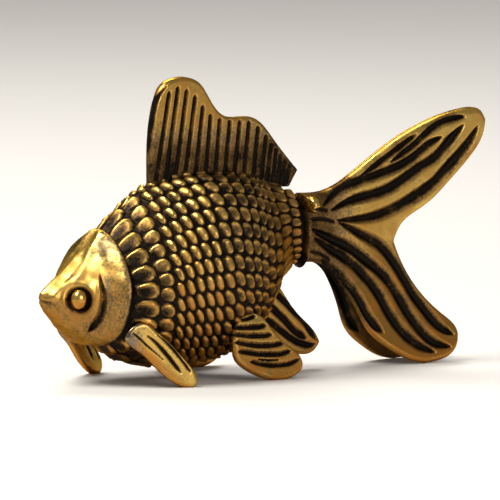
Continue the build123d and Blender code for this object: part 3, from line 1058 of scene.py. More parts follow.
@dataclass
class Eye:
    """Round polished bead with a waist, set in its dish."""

    node: str
    side: Side
    rings: int = 36
    spokes: int = 64
    tallness: float = 1.16
    waist_share: float = 0.04
    waist_angles: tuple[float, float] = (0.9, 1.5)
    dark_from: float = 1.25
    dark_over: float = 0.3
    # Painted orange reflection, stronger towards the bottom of the bead.
    middle_reflection: float = 0.5
    reflection_fall: float = 1.4

    def build(self) -> bpy.types.Object:
        """Makes the eye.

        Returns:
            The piece.
        """
        low, high = (np.array(corner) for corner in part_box(self.node))
        centre = (low + high) / 2
        centre[1] = -abs(centre[1])
        radius = (high - low)[0] / 2
        out = np.array([-math.sin(EYE_TURN), -math.cos(EYE_TURN), 0.0])
        across = np.array([math.cos(EYE_TURN), -math.sin(EYE_TURN), 0.0])
        up = self.tallness * np.cross(out, across)
        slope = np.linspace(0, math.pi, self.rings)
        collar = 1 - self.waist_share * smooth_step(*self.waist_angles, slope)
        points, relief = [centre + out * radius], [1.0]
        for angle, grow in zip(slope[1:-1], collar[1:-1]):
            for spoke in range(self.spokes):
                turn = math.tau * spoke / self.spokes
                way = across * math.cos(turn) + up * math.sin(turn)
                points.append(centre + radius * grow * (out * math.cos(angle) + way * math.sin(angle)))
                relief.append(min(1.0, max(0.0, 1 - (angle - self.dark_from) / self.dark_over)))
        points.append(centre - out * radius)
        relief.append(0.0)
        faces = []
        for spoke in range(self.spokes):
            after = (spoke + 1) % self.spokes
            faces.append((0, 1 + spoke, 1 + after))
            for ring in range(self.rings - 3):
                first, second = 1 + ring * self.spokes, 1 + (ring + 1) * self.spokes
                faces.append((first + spoke, second + spoke, second + after, first + after))
            last = 1 + (self.rings - 3) * self.spokes
            faces.append((len(points) - 1, last + after, last + spoke))
        points = np.array(points)
        # Painted orange reflection, stronger towards the bottom of the bead.
        orange_reflection = np.clip(self.middle_reflection - self.reflection_fall * (points[:, 2] - centre[2]) / radius, 0, 1)
        carving = Relief(np.array(relief), np.ones(len(points)), orange_reflection)
        return make_piece(self.node, points, faces, carving, POLISHED, self.side)


# Fins


@dataclass(frozen=True)
class Groove:
    """Groove between two rays of a fin.

    The line is in shares of the fin's reach and rise. Width is half that of its dark floor, and
    skew makes the wall on the line's right that much steeper than the one on its left. The floor
    rises over wall_reach widths, the stain ends at spread widths, and a brown shoulder may follow.
    """

    line: Shares
    width: float
    depth: float
    skew: float = 1.0
    head_taper: float = 0.15
    tail_taper: float = 0.12
    flat: bool = False
    flat_power: int = 5
    wall_reach: float = 2.1
    spread: float = 2.1
    stain_from: float = 0.6
    ripple: float = 0.0
    ripple_counts: tuple[float, float] = (11.3, 17.9)
    shoulder: float = 0.0
    shoulder_reach: tuple[float, float] = (1.6, 2.4)
    least_taper: float = 0.04

    def profile(self, away: np.ndarray) -> tuple[np.ndarray, np.ndarray]:
        """Section through the groove.

        Args:
            away: Distances from its line in widths.

        Returns:
            Share of its depth, and stain from 0 to 1.
        """
        if self.flat:
            floor = np.clip(1 - away**self.flat_power, 0, 1)
            return floor, floor
        floor = 0.5 + 0.5 * np.cos(math.pi * np.clip(away / self.wall_reach, 0, 1))
        return floor, 1 - smooth_step(self.stain_from, self.spread, away)


@dataclass
class Sheet:
    """Triangulated outline of a fin with the distance of each point from the edge."""

    outline: np.ndarray
    spacing: float
    edge_steps: tuple[float, ...] = (0.012, 0.05, 0.12, 0.22, 0.33)
    edge_spacing_share: float = 0.9
    least_inset_share: float = 0.93
    face_gap_share: float = 0.55
    join_tolerance: float = 1e-6
    on_edge: float = 1e-4 * MM
    points: np.ndarray = field(init=False)
    faces: list = field(init=False)
    depth: np.ndarray = field(init=False)

    def __post_init__(self) -> None:
        """Lays points along the edge, beside it and over the face, and joins them."""
        loop = self._even(self.outline)
        layers = [loop]
        for step in self.edge_steps:
            inner = self._inset(loop, step * MM)
            gap, _, _ = line_distance(inner, np.vstack([loop, loop[:1]]))
            layers.append(inner[(gap > self.least_inset_share * step * MM) & inside(inner, loop)])
        low, high = loop.min(axis=0), loop.max(axis=0)
        rise = self.spacing * math.sqrt(3) / 2
        lattice = []
        for row, y in enumerate(np.arange(low[1], high[1], rise)):
            x = np.arange(low[0] + (row % 2) * self.spacing / 2, high[0], self.spacing)
            lattice.append(np.stack([x, np.full_like(x, y)], 1))
        face_points = np.concatenate(lattice)
        face_points = face_points[inside(face_points, loop)]
        gap, _, _ = line_distance(face_points, np.vstack([loop, loop[:1]]))
        layers.append(face_points[gap > self.edge_steps[-1] * MM + self.face_gap_share * self.spacing])
        everything = np.concatenate(layers) / MM
        edges = [(index, (index + 1) % len(loop)) for index in range(len(loop))]
        made = delaunay_2d_cdt([Vector(point) for point in everything], edges, [], 1, self.join_tolerance)
        self.points = np.array([tuple(point) for point in made[0]]) * MM
        self.faces = [tuple(face) for face in made[2]]
        self.depth, _, _ = line_distance(self.points, np.vstack([loop, loop[:1]]))
        self.depth[self.depth < self.on_edge] = 0

    def _even(self, loop: np.ndarray) -> np.ndarray:
        """Corners of a closed loop, evenly spaced.

        Args:
            loop: Points round the loop.

        Returns:
            Evenly spaced points, counter-clockwise.
        """
        closed = np.vstack([loop, loop[:1]])
        area = np.sum(closed[:-1, 0] * closed[1:, 1] - closed[1:, 0] * closed[:-1, 1])
        if area < 0:
            closed = closed[::-1]
        marks = np.concatenate([[0], np.cumsum(np.linalg.norm(np.diff(closed, axis=0), axis=1))])
        count = int(marks[-1] / (self.spacing * self.edge_spacing_share))
        even = np.linspace(0, marks[-1], count, endpoint=False)
        return np.stack([np.interp(even, marks, closed[:, axis]) for axis in range(2)], 1)

    @staticmethod
    def _inset(loop: np.ndarray, step: float) -> np.ndarray:
        """Moves points of a loop inwards.

        Args:
            loop: Points of a counter-clockwise loop.
            step: How far they move.

        Returns:
            The moved points.
        """
        run = np.roll(loop, -1, axis=0) - np.roll(loop, 1, axis=0)
        run /= np.maximum(np.linalg.norm(run, axis=1, keepdims=True), TINY)
        return loop + step * np.stack([-run[:, 1], run[:, 0]], 1)


@dataclass
class Plate:
    """Carved fin on a flat plate. Its own frame has the root at the origin."""

    reach: float
    rise: float
    thickness: float
    stretches: Sequence[Shares]
    grooves: Sequence[Groove]
    spacing: float = 0.11 * MM
    edge_radius: float = 0.34 * MM
    straight: frozenset = frozenset()
    rounded: bool = False
    outline_steps: int = 14
    groove_steps: int = 8

    def scaled(self, shares: Shares) -> np.ndarray:
        """Shares of the fin's reach and rise, in metres."""
        return np.array(shares, float) * np.array([self.reach, self.rise])

    def outline(self) -> np.ndarray:
        """Closed outline of the fin, smooth all round where it is rounded.

        Returns:
            Points along the outline, in metres.
        """
        if self.rounded:
            corners = [point for shares in self.stretches for point in shares[:-1]]
            return closed_spline(self.scaled(corners) / MM, self.outline_steps) * MM
        loop = []
        for index, shares in enumerate(self.stretches):
            points = self.scaled(shares) / MM
            line = points if index in self.straight else spline(points, self.outline_steps)
            loop.append(line[:-1] * MM)
        return np.concatenate(loop)

    def trench(self, points: np.ndarray) -> tuple[np.ndarray, np.ndarray]:
        """Depth of all grooves together.

        Args:
            points: Points of the plate, in metres.

        Returns:
            Depth in metres, and the stain of each point, from 0 to 1.
        """
        depth = np.zeros(len(points))
        share_in = np.zeros(len(points))
        for groove in self.grooves:
            line = spline(self.scaled(groove.line) / MM, self.groove_steps) * MM
            gap, along, side = line_distance(points, line)
            ripple = sum(np.sin(along * count * math.tau) for count in groove.ripple_counts)
            gap = gap * (1 + groove.ripple * ripple)
            taper = np.minimum(along / groove.head_taper, (1 - along) / groove.tail_taper)
            width = groove.width * np.sqrt(np.clip(taper, groove.least_taper, 1))
            width = np.where(side > 0, width * groove.skew, width / groove.skew)
            floor, stain = groove.profile(gap / width)
            gentle = (side > 0) | (groove.skew == 1)
            beside = 1 - smooth_step(*groove.shoulder_reach, gap / width)
            stain = np.maximum(stain, groove.shoulder * gentle * beside)
            depth = np.maximum(depth, groove.depth * floor)
            share_in = np.maximum(share_in, stain)
        return depth, share_in


def close_sheet(sheet: Sheet, outer: np.ndarray, inner: np.ndarray) -> tuple[np.ndarray, list, np.ndarray]:
    """Joins the two faces of a sheet along its edge.

    Args:
        sheet: The sheet.
        outer: Points of its outer face.
        inner: Points of its inner face, which meet the outer ones at the edge.

    Returns:
        Vertices, faces, and the sheet point that each vertex comes from.
    """
    free = np.flatnonzero(sheet.depth > 0)
    number = np.arange(len(outer))
    number[free] = len(outer) + np.arange(len(free))
    points = np.concatenate([outer, inner[free]])
    source = np.concatenate([np.arange(len(outer)), free])
    faces = []
    for face in sheet.faces:
        if not any(sheet.depth[corner] > 0 for corner in face):
            continue
        faces.append(face)
        faces.append(tuple(int(number[corner]) for corner in face[::-1]))
    return points, faces, source


@dataclass
class FlankFin:
    """Fin on a flank or on the middle plane, carved alike on both faces. Its angles are in degrees."""

    plate: Plate
    size: FishSize
    place_share: float
    height_share: float
    side_share: float = 0.0
    splay: float = 0.0
    yaw: float = 0.0
    # Strength of a painted orange reflection at the fin's lowest and highest points.
    reflection_low: float = 0.9
    reflection_high: float = 0.15
    # Below 1 this darkens the whole fin; on the anal fin that is painted shade.
    rubbed: float = 1.0
    thinnest_half: float = 0.08 * MM

    def build(self, node: str, side: Side = Side.LEFT) -> bpy.types.Object:
        """Makes the fin.

        Args:
            node: CAD node that the fin stands for.
            side: Side of the fish.

        Returns:
            The piece.
        """
        plate = self.plate
        sheet = Sheet(plate.outline(), plate.spacing)
        depth, share_in = plate.trench(sheet.points)
        edge = rounding(sheet.depth, plate.edge_radius)
        half = plate.thickness / 2
        lift = edge * np.maximum(half - depth, self.thinnest_half)
        outer, inner = self._placed(sheet.points, lift), self._placed(sheet.points, -lift)
        points, faces, source = close_sheet(sheet, outer, inner)
        points[:, 2] = np.maximum(points[:, 2], 0)
        low, high = sheet.points[:, 1].min(), sheet.points[:, 1].max()
        flat = sheet.points[source]
        relief = (1 - share_in[source]) * self.shine(flat)
        carving = Relief(relief, self.tone(flat), self.orange_reflection_at(flat, low, high))
        return make_piece(node, points, faces, carving, FINNED, side)

    def tone(self, points: np.ndarray) -> np.ndarray:
        """How little tarnish there is at points of the plate."""
        return np.ones(len(points))

    def shine(self, points: np.ndarray) -> np.ndarray:
        """How far the crests are rubbed at points of the plate, with painted shade where a whole fin is darkened."""
        return np.full(len(points), self.rubbed)

    def orange_reflection_at(self, points: np.ndarray, low: float, high: float) -> np.ndarray:
        """Strength of the painted orange reflection at points of a plate that reaches from low to high, changing evenly
        with height.
        """
        return self.reflection_low + (self.reflection_high - self.reflection_low) * (points[:, 1] - low) / (high - low)

    def _placed(self, flat: np.ndarray, lift: np.ndarray) -> np.ndarray:
        """Points of the plate in the fish's frame.

        Args:
            flat: Points of the plate.
            lift: How far each one stands out towards the fish's left.

        Returns:
            Points in space.
        """
        yaw, splay = math.radians(-self.yaw), math.radians(-self.splay)
        y = -lift * math.cos(splay) - flat[:, 1] * math.sin(splay)
        z = -lift * math.sin(splay) + flat[:, 1] * math.cos(splay)
        x = flat[:, 0]
        root_y = -self.side_share * self.size.half_width
        return np.stack([
            self.size.along(self.place_share) + x * math.cos(yaw) - y * math.sin(yaw),
            root_y + x * math.sin(yaw) + y * math.cos(yaw),
            self.size.level(self.height_share) + z,
        ], 1)


@dataclass
class DorsalFin(FlankFin):
    """Tall fin of flat granular ribs, with tarnish at their feet."""

    foot_tone: Ramp = Ramp(0.1, 0.75, 0.10, 1.0)
    foot_brightness: Ramp = Ramp(0.0, 0.65, 0.25, 1.0)

    def tone(self, points: np.ndarray) -> np.ndarray:
        """How little tarnish there is at points of the plate."""
        return self.foot_tone.at(points[:, 1] / self.plate.rise)

    def shine(self, points: np.ndarray) -> np.ndarray:
        """How far the crests are rubbed at points of the plate."""
        return self.foot_brightness.at(points[:, 1] / self.plate.rise)


@dataclass
class PectoralFin(FlankFin):
    """Narrow fin with a painted grey sheen on its root and a painted orange reflection along its lower edge."""

    # Painted grey sheen on the fin's root.
    root_tone: Ramp = Ramp(0.05, 0.38, 0.15, 1.0)
    # Painted orange reflection along the lower edge.
    edge_reflection: Ramp = Ramp(-0.18, -0.02, 1.0, 0.0)

    def tone(self, points: np.ndarray) -> np.ndarray:
        """How free of the painted grey sheen the plate is at each point; the sheen lies on the root."""
        return self.root_tone.at(points[:, 0] / self.plate.reach)

    def orange_reflection_at(self, points: np.ndarray, low: float, high: float) -> np.ndarray:
        """Strength of the painted orange reflection at points of the plate, strongest along its lower edge."""
        return self.edge_reflection.at(points[:, 0] / self.plate.reach + points[:, 1] / self.plate.rise)


def dorsal_grooves() -> list[Groove]:
    """Slots between the dorsal fin's ribs, and the fine line inside its front rim.

    Returns:
        The grooves.
    """
    count = 17
    feet = ((0.035, -0.10), (0.205, -0.10), (0.39, -0.10), (0.56, -0.12), (0.73, -0.15), (0.835, -0.20), (0.905, -0.24))
    tip_places = (0.125, 0.282, 0.420, 0.600, 0.765, 0.858, 0.940)
    part = np.linspace(0, len(feet) - 1, count)
    foot_u, foot_v = (np.interp(part, range(len(feet)), values) for values in zip(*feet))
    tip_u = np.interp(part, range(len(tip_places)), tip_places)
    top = ((0.0, 0.80), (0.125, 0.856), (0.188, 0.905), (0.235, 0.876), (0.282, 0.827), (0.332, 0.74), (0.37, 0.623),
           (0.42, 0.565), (0.475, 0.526), (0.533, 0.507), (0.663, 0.487), (0.72, 0.429), (0.765, 0.351),
           (0.815, 0.216), (0.858, 0.148), (0.903, 0.06), (0.94, -0.017))
    tip_v = np.interp(tip_u, *np.array(top).T)
    slots = [
        Groove(line, 0.25 * MM, 0.28 * MM, head_taper=0.01, tail_taper=0.03, flat=True)
        for line in zip(zip(foot_u, foot_v), zip(tip_u, tip_v))
    ]
    line = ((-0.012, 0.10), (0.000, 0.35), (0.024, 0.62), (0.055, 0.80), (0.105, 0.905))
    slots.append(Groove(line, 0.10 * MM, 0.16 * MM))
    return slots


def flank_fins(size: FishSize) -> dict[str, FlankFin]:
    """All fins that are flat plates.

    Args:
        size: Sizes of the fish.

    Returns:
        Each fin by the start of its node's name.
    """
    dorsal = Plate(
        reach=16.7 * MM, rise=8.6 * MM, thickness=1.1 * MM, straight=frozenset({2}), spacing=0.10 * MM,
        stretches=(
            ((0.0, -0.22), (0.0, 0.276), (0.032, 0.724), (0.10, 0.943), (0.212, 1.0)),
            ((0.212, 1.0), (0.324, 0.943), (0.406, 0.747), (0.506, 0.552), (0.694, 0.517), (0.835, 0.276),
             (1.0, -0.08)),
            ((1.0, -0.08), (0.94, -0.26), (0.0, -0.22)),
        ),
        grooves=dorsal_grooves(),
    )
    pectoral_height, pectoral_splay, pelvic_height, pelvic_splay = 0.276, 3.0, 0.290, 6.0
    pectoral = Plate(
        reach=6.8 * MM, rise=size.level(pectoral_height) / math.cos(math.radians(pectoral_splay)),
        thickness=0.9 * MM, edge_radius=0.42 * MM, rounded=True,
        stretches=(
            ((0.0, -0.23), (0.12, -0.03), (0.30, 0.0), (0.45, -0.14), (0.65, -0.35), (0.86, -0.62), (1.0, -0.88)),
            ((1.0, -0.88), (0.97, -0.99), (0.86, -1.02), (0.71, -0.96), (0.43, -0.71), (0.20, -0.46), (0.0, -0.23)),
        ),
        grooves=(
            Groove(((0.29, -0.19), (0.40, -0.285), (0.49, -0.39), (0.57, -0.495), (0.645, -0.60), (0.71, -0.695),
                    (0.76, -0.765)), 0.14 * MM, 0.24 * MM, head_taper=0.4, spread=1.7),
            Groove(((0.45, -0.19), (0.54, -0.28), (0.64, -0.39), (0.73, -0.51), (0.81, -0.63), (0.905, -0.78)),
                   0.105 * MM, 0.22 * MM, head_taper=0.3, spread=1.7),
            Groove(((0.10, -0.15), (0.22, -0.27), (0.33, -0.385), (0.43, -0.48), (0.54, -0.60)),
                   0.09 * MM, 0.12 * MM, tail_taper=0.9),
        ),
    )
    pelvic_lines = (
        (((-0.02, -0.095), (0.07, -0.10), (0.19, -0.105), (0.28, -0.086), (0.33, -0.064)), 0.17),
        (((-0.02, -0.212), (0.128, -0.229), (0.305, -0.236), (0.423, -0.229), (0.482, -0.208)), 0.20),
        (((-0.01, -0.315), (0.092, -0.33), (0.246, -0.358), (0.364, -0.365), (0.482, -0.365), (0.553, -0.344)), 0.21),
        (((0.01, -0.425), (0.128, -0.458), (0.305, -0.501), (0.482, -0.516), (0.612, -0.509), (0.718, -0.487)), 0.21),
        (((0.04, -0.56), (0.128, -0.58), (0.305, -0.623), (0.482, -0.645), (0.635, -0.652), (0.753, -0.63),
          (0.824, -0.602)), 0.20),
        (((0.21, -0.715), (0.34, -0.766), (0.482, -0.802), (0.60, -0.812), (0.718, -0.809), (0.848, -0.781),
          (0.936, -0.731)), 0.18),
        (((0.32, -0.69), (0.482, -0.716), (0.635, -0.72)), 0.07),
    )
    pelvic = Plate(
        reach=7.7 * MM, rise=size.level(pelvic_height) / math.cos(math.radians(pelvic_splay)),
        thickness=0.9 * MM, spacing=0.09 * MM, rounded=True,
        stretches=(
            ((0.01, -0.28), (0.07, -0.12), (0.18, -0.03), (0.31, 0.0), (0.42, -0.05), (0.56, -0.23), (0.79, -0.50),
             (0.98, -0.72), (0.99, -0.83)),
            ((0.99, -0.83), (0.85, -0.97), (0.60, -1.01), (0.34, -0.93), (0.13, -0.80), (0.02, -0.66), (0.0, -0.48),
             (0.01, -0.28)),
        ),
        grooves=[
            Groove(line, 0.66 * width * MM, 0.30 * MM, skew=1.9, head_taper=0.08, tail_taper=0.08, spread=1.9,
                   ripple=0.06, shoulder=0.55)
            for line, width in pelvic_lines
        ],
    )
    anal = Plate(
        reach=7.6 * MM, rise=6.6 * MM, thickness=0.9 * MM, straight=frozenset({2}),
        stretches=(
            ((0.0, -0.55), (0.42, -0.86), (0.72, -1.0), (0.90, -0.97), (1.0, -0.84)),
            ((1.0, -0.84), (0.95, -0.73), (0.70, -0.44), (0.42, -0.05)),
            ((0.42, -0.05), (0.20, 0.15), (0.0, -0.55)),
        ),
        grooves=(
            Groove(((0.16, -0.43), (0.37, -0.614), (0.49, -0.71), (0.61, -0.793), (0.729, -0.848), (0.849, -0.876),
                    (0.909, -0.869)), 0.22 * MM, 0.28 * MM),
            Groove(((0.18, -0.22), (0.37, -0.407), (0.466, -0.503), (0.574, -0.628), (0.669, -0.71), (0.777, -0.779)),
                   0.24 * MM, 0.28 * MM),
            Groove(((0.28, -0.06), (0.454, -0.228), (0.574, -0.352), (0.693, -0.476), (0.789, -0.586), (0.861, -0.697),
                    (0.933, -0.793)), 0.22 * MM, 0.28 * MM),
        ),
    )
    return {
        "dorsal_fin": DorsalFin(dorsal, size, place_share=0.239, height_share=1.0, reflection_low=0.3, reflection_high=0.55),
        "pectoral_fin": PectoralFin(pectoral, size, place_share=0.114, height_share=pectoral_height,
                                    side_share=0.660, splay=pectoral_splay, yaw=20.0),
        "pelvic_fin": FlankFin(pelvic, size, place_share=0.338, height_share=pelvic_height, side_share=0.775,
                               splay=pelvic_splay, reflection_low=1.0, reflection_high=0.0),
        # The anal fin is darkened all over with painted shade.
        "anal_fin": FlankFin(anal, size, place_share=0.472, height_share=0.380, reflection_high=0.3, rubbed=0.75),
    }


# The tail


@dataclass
class TailBlade:
    """One half of the tail: its upper lobe lies against the other half, and its lower one parts from it."""

    size: FishSize
    root_share: float = 0.578
    set_back: float = 1.2 * MM
    rise: float = 23.4 * MM
    thickness: float = 0.85 * MM
    splay: float = math.radians(12.0)
    hinge_share: float = 0.44
    bend_reach: float = 1.6 * MM
    root_length: float = 3.2 * MM
    root_half_width: float = 1.6 * MM
    root_level_shares: tuple[float, float] = (0.847, 0.489)
    halves_gap: float = 0.025 * MM
    bead_place: tuple[float, float] = (4.65, 15.35)
    bead_radius: float = 0.80 * MM
    bead_height: float = 0.88 * MM
    spacing: float = 0.115 * MM
    lobe_start: float = 0.40
    lobe_full: float = 0.52
    seam_offset: float = 0.30 * MM
    outer_radii: tuple[float, float] = (0.40 * MM, 0.55 * MM)
    inner_radii: tuple[float, float] = (0.36 * MM, 0.10 * MM)
    inner_carving: float = 0.75
    groove_depth: float = 0.42 * MM
    fine_groove: tuple[float, float] = (0.13 * MM, 0.12 * MM)
    # Darker towards the root.
    root_darkening: Ramp = Ramp(0.02, 0.30, 0.36, 1.0)
    # Share of the rubbing kept on the inner faces; below 1 it is painted shade, which the far lower lobe shows.
    inner_shade_share: float = 0.5
    root_tone: Ramp = Ramp(0.04, 0.34, 0.12, 1.0)
    # Painted orange reflection, low down and along the rear edge of the upper lobe.
    low_reflection: Ramp = Ramp(0.15, 0.75, 1.0, 0.1)
    rear_line_slope: float = 0.85
    rear_reflection: Ramp = Ramp(0.0, 0.05)
    above_fork: Ramp = Ramp(0.48, 0.53)
    edge_reflection: Ramp = Ramp(0.5 * MM, 1.6 * MM, 1.0, 0.0)
    bend_steps: int = 900
    upper_top: Shares = ((-0.06, 0.702), (0.06, 0.702), (0.28, 0.786), (0.52, 0.905), (0.69, 0.963), (0.88, 0.999),
                         (0.97, 0.990), (1.0, 0.949))
    upper_rear: Shares = ((1.0, 0.949), (0.99, 0.902), (0.91, 0.803), (0.79, 0.711), (0.65, 0.620), (0.51, 0.547),
                          (0.47, 0.487))
    lower_rear: Shares = ((0.47, 0.487), (0.51, 0.389), (0.60, 0.265), (0.70, 0.184), (0.775, 0.111), (0.76, 0.050),
                          (0.57, -0.008))
    lower_front: Shares = ((0.57, -0.008), (0.50, 0.004), (0.39, 0.051), (0.27, 0.137), (0.22, 0.222), (0.15, 0.329),
                           (0.05, 0.415), (-0.06, 0.425))
    root_line: Shares = ((-0.06, 0.425), (-0.06, 0.702))

    def grooves(self) -> list[Groove]:
        """Grooves between the tail's rays, from the top of the upper lobe down.

        Returns:
            The grooves.
        """
        upper = (
            (((0.25, 0.742), (0.309, 0.770), (0.389, 0.811), (0.449, 0.840), (0.528, 0.878), (0.588, 0.906)), 0.21),
            (((0.440, 0.804), (0.500, 0.831), (0.597, 0.879), (0.674, 0.927), (0.761, 0.957), (0.868, 0.967)), 0.25),
            (((0.046, 0.649), (0.133, 0.698), (0.230, 0.731), (0.356, 0.756), (0.481, 0.785), (0.568, 0.817),
              (0.655, 0.863), (0.732, 0.891)), 0.30),
            (((0.104, 0.628), (0.230, 0.665), (0.375, 0.686), (0.500, 0.727), (0.607, 0.776), (0.703, 0.817),
              (0.781, 0.875), (0.858, 0.933)), 0.34),
            (((0.140, 0.585), (0.327, 0.590), (0.449, 0.616), (0.588, 0.666), (0.688, 0.712), (0.788, 0.784),
              (0.887, 0.860), (0.940, 0.925)), 0.35),
        )
        lower = (
            (((0.150, 0.575), (0.305, 0.510), (0.394, 0.462), (0.442, 0.414), (0.491, 0.345), (0.540, 0.269),
              (0.605, 0.193), (0.669, 0.131), (0.738, 0.097)), 0.36),
            (((-0.028, 0.559), (0.102, 0.510), (0.207, 0.469), (0.297, 0.414), (0.394, 0.345), (0.442, 0.283),
              (0.499, 0.193), (0.556, 0.124), (0.629, 0.069), (0.714, 0.048)), 0.38),
            (((-0.01, 0.520), (0.102, 0.469), (0.183, 0.428), (0.264, 0.366), (0.329, 0.297), (0.394, 0.193),
              (0.459, 0.117), (0.540, 0.062), (0.621, 0.031)), 0.37),
            (((0.045, 0.430), (0.118, 0.380), (0.175, 0.328), (0.224, 0.269), (0.256, 0.214), (0.297, 0.159),
              (0.341, 0.124)), 0.33),
        )
        broad = [
            Groove(line, width * MM, self.groove_depth, head_taper=0.25, shoulder=0.50) for line, width in upper + lower
        ]
        thin = (
            ((0.05, 0.405), (0.105, 0.338), (0.155, 0.283), (0.195, 0.230)),
            ((-0.04, 0.600), (0.04, 0.596), (0.12, 0.580)),
            ((-0.04, 0.640), (0.02, 0.638), (0.08, 0.625)),
            ((-0.04, 0.470), (0.03, 0.455), (0.09, 0.425)),
        )
        return broad + [Groove(line, *self.fine_groove) for line in thin]

    def build(self, node: str, side: Side) -> bpy.types.Object:
        """Makes one half of the tail.

        Args:
            node: CAD node that it stands for.
            side: Side of the fish.

        Returns:
            The piece.
        """
        start = self.size.along(self.root_share) + self.set_back
        reach = self.size.along(1.0) - start
        stretches = (self.upper_top, self.upper_rear, self.lower_rear, self.lower_front, self.root_line)
        straight = frozenset({stretches.index(self.root_line)})
        plate = Plate(reach, self.rise, self.thickness, stretches, self.grooves(), straight=straight)
        sheet = Sheet(plate.outline(), self.spacing)
        flat = sheet.points
        depth, share_in = plate.trench(flat)
        half = self.thickness / 2
        upper = smooth_step(self.lobe_start, self.lobe_full, flat[:, 1] / self.rise)
        edge_line = -self.seam_offset * upper
        outer_edge, inner_edge = (
            rounding(sheet.depth, lower_radius) * (1 - upper) + rounding(sheet.depth, upper_radius) * upper
            for lower_radius, upper_radius in (self.outer_radii, self.inner_radii)
        )
        bead = self._bead(flat, start)
        grown = self._root_swell(flat) + bead
        outer = edge_line + (half + grown - edge_line) * outer_edge - depth * outer_edge
        inner = edge_line - (half + edge_line) * inner_edge + self.inner_carving * depth * inner_edge * (1 - upper)
        points, faces, source = close_sheet(sheet, self._placed(flat, outer, start), self._placed(flat, inner, start))
        points[:, 2] = np.maximum(points[:, 2], 0)
        points[:, 1] = np.minimum(points[:, 1], -self.halves_gap)

        share_out, share_up = flat[source, 0] / reach, flat[source, 1] / self.rise
        beaded = bead[source] > 0
        # Darker towards the root, except on the bead.
        rubbed = np.where(beaded, 1.0, self.root_darkening.at(share_out))
        # Painted shade on the inner faces, which the far lower lobe shows.
        rubbed[len(flat):] *= self.inner_shade_share
        tone = np.where(beaded, 1.0, self.root_tone.at(share_out))
        orange_reflection = self._orange_reflection(share_out, share_up, sheet.depth[source])
        return make_piece(node, points, faces, Relief((1 - share_in[source]) * rubbed, tone, orange_reflection), FINNED, side)

    def _orange_reflection(self, share_out: np.ndarray, share_up: np.ndarray, edge_depth: np.ndarray) -> np.ndarray:
        """Strength of the painted orange reflection: low down, and along the rear edge of the upper lobe.

        Args:
            share_out: Shares of the reach from the root.
            share_up: Shares of the rise.
            edge_depth: Distances in from the edge.

        Returns:
            Painted orange reflection from 0 to 1.
        """
        fork_out, fork_up = self.lower_rear[0]
        below = fork_up + self.rear_line_slope * (share_out - fork_out) - share_up
        rear = self.rear_reflection.at(below) * self.above_fork.at(share_up) * self.edge_reflection.at(edge_depth)
        return np.maximum(self.low_reflection.at(share_up), rear)

    def _root_swell(self, flat: np.ndarray) -> np.ndarray:
        """How much thicker the root is towards the trunk's end.

        Args:
            flat: Points of the sheet.

        Returns:
            Added thickness on the outer side, in metres.
        """
        part = np.clip(1 - (flat[:, 0] + self.set_back) / self.root_length, 0, 1)
        top, bottom = (self.size.level(share) for share in self.root_level_shares)
        height = (flat[:, 1] - (top + bottom) / 2) / ((top - bottom) / 2)
        oval = np.sqrt(np.clip(1 - height**2, 0, 1))
        return (self.root_half_width - self.thickness) * part * oval

    def _bead(self, flat: np.ndarray, start: float) -> np.ndarray:
        """Round bead on top of the root.

        Args:
            flat: Points of the sheet.
            start: Place along the fish where the outlines start from.

        Returns:
            Added thickness on the outer side, in metres.
        """
        centre = np.array(self.bead_place) * MM - np.array([start, 0])
        gap = np.linalg.norm(flat - centre, axis=1)
        return self.bead_height * np.sqrt(np.clip(1 - (gap / self.bead_radius) ** 2, 0, 1))

    def _placed(self, flat: np.ndarray, lift: np.ndarray, start: float) -> np.ndarray:
        """Points of the sheet in the fish's frame, bent outwards below the hinge.

        Args:
            flat: Points of the sheet.
            lift: How far each one stands out from the middle of the sheet.
            start: Place along the fish where the outlines start from.

        Returns:
            Points in space.
        """
        hinge = self.hinge_share * self.rise
        below = np.linspace(-self.bend_reach, self.rise, self.bend_steps)
        angle = self.splay * smooth_step(-self.bend_reach, self.bend_reach, below)
        step = np.diff(below, prepend=below[0])
        out = np.cumsum(np.sin(angle) * step)
        fall = np.cumsum(np.cos(angle) * step) - self.bend_reach
        down = hinge - flat[:, 1]
        tilt = np.interp(down, below, angle)
        y = -self.thickness / 2 - np.interp(down, below, out)
        z = hinge - np.where(down < -self.bend_reach, down, np.interp(down, below, fall))
        return np.stack([start + flat[:, 0], y - lift * np.cos(tilt), z + lift * np.sin(tilt)], 1)


# The studio


@dataclass(frozen=True)
class Lamp:
    """Soft square light: its place, the length of its side, its power in watts and its colour."""

    name: str
    place: tuple[float, float, float]
    size: float
    power: float
    colour: Colour


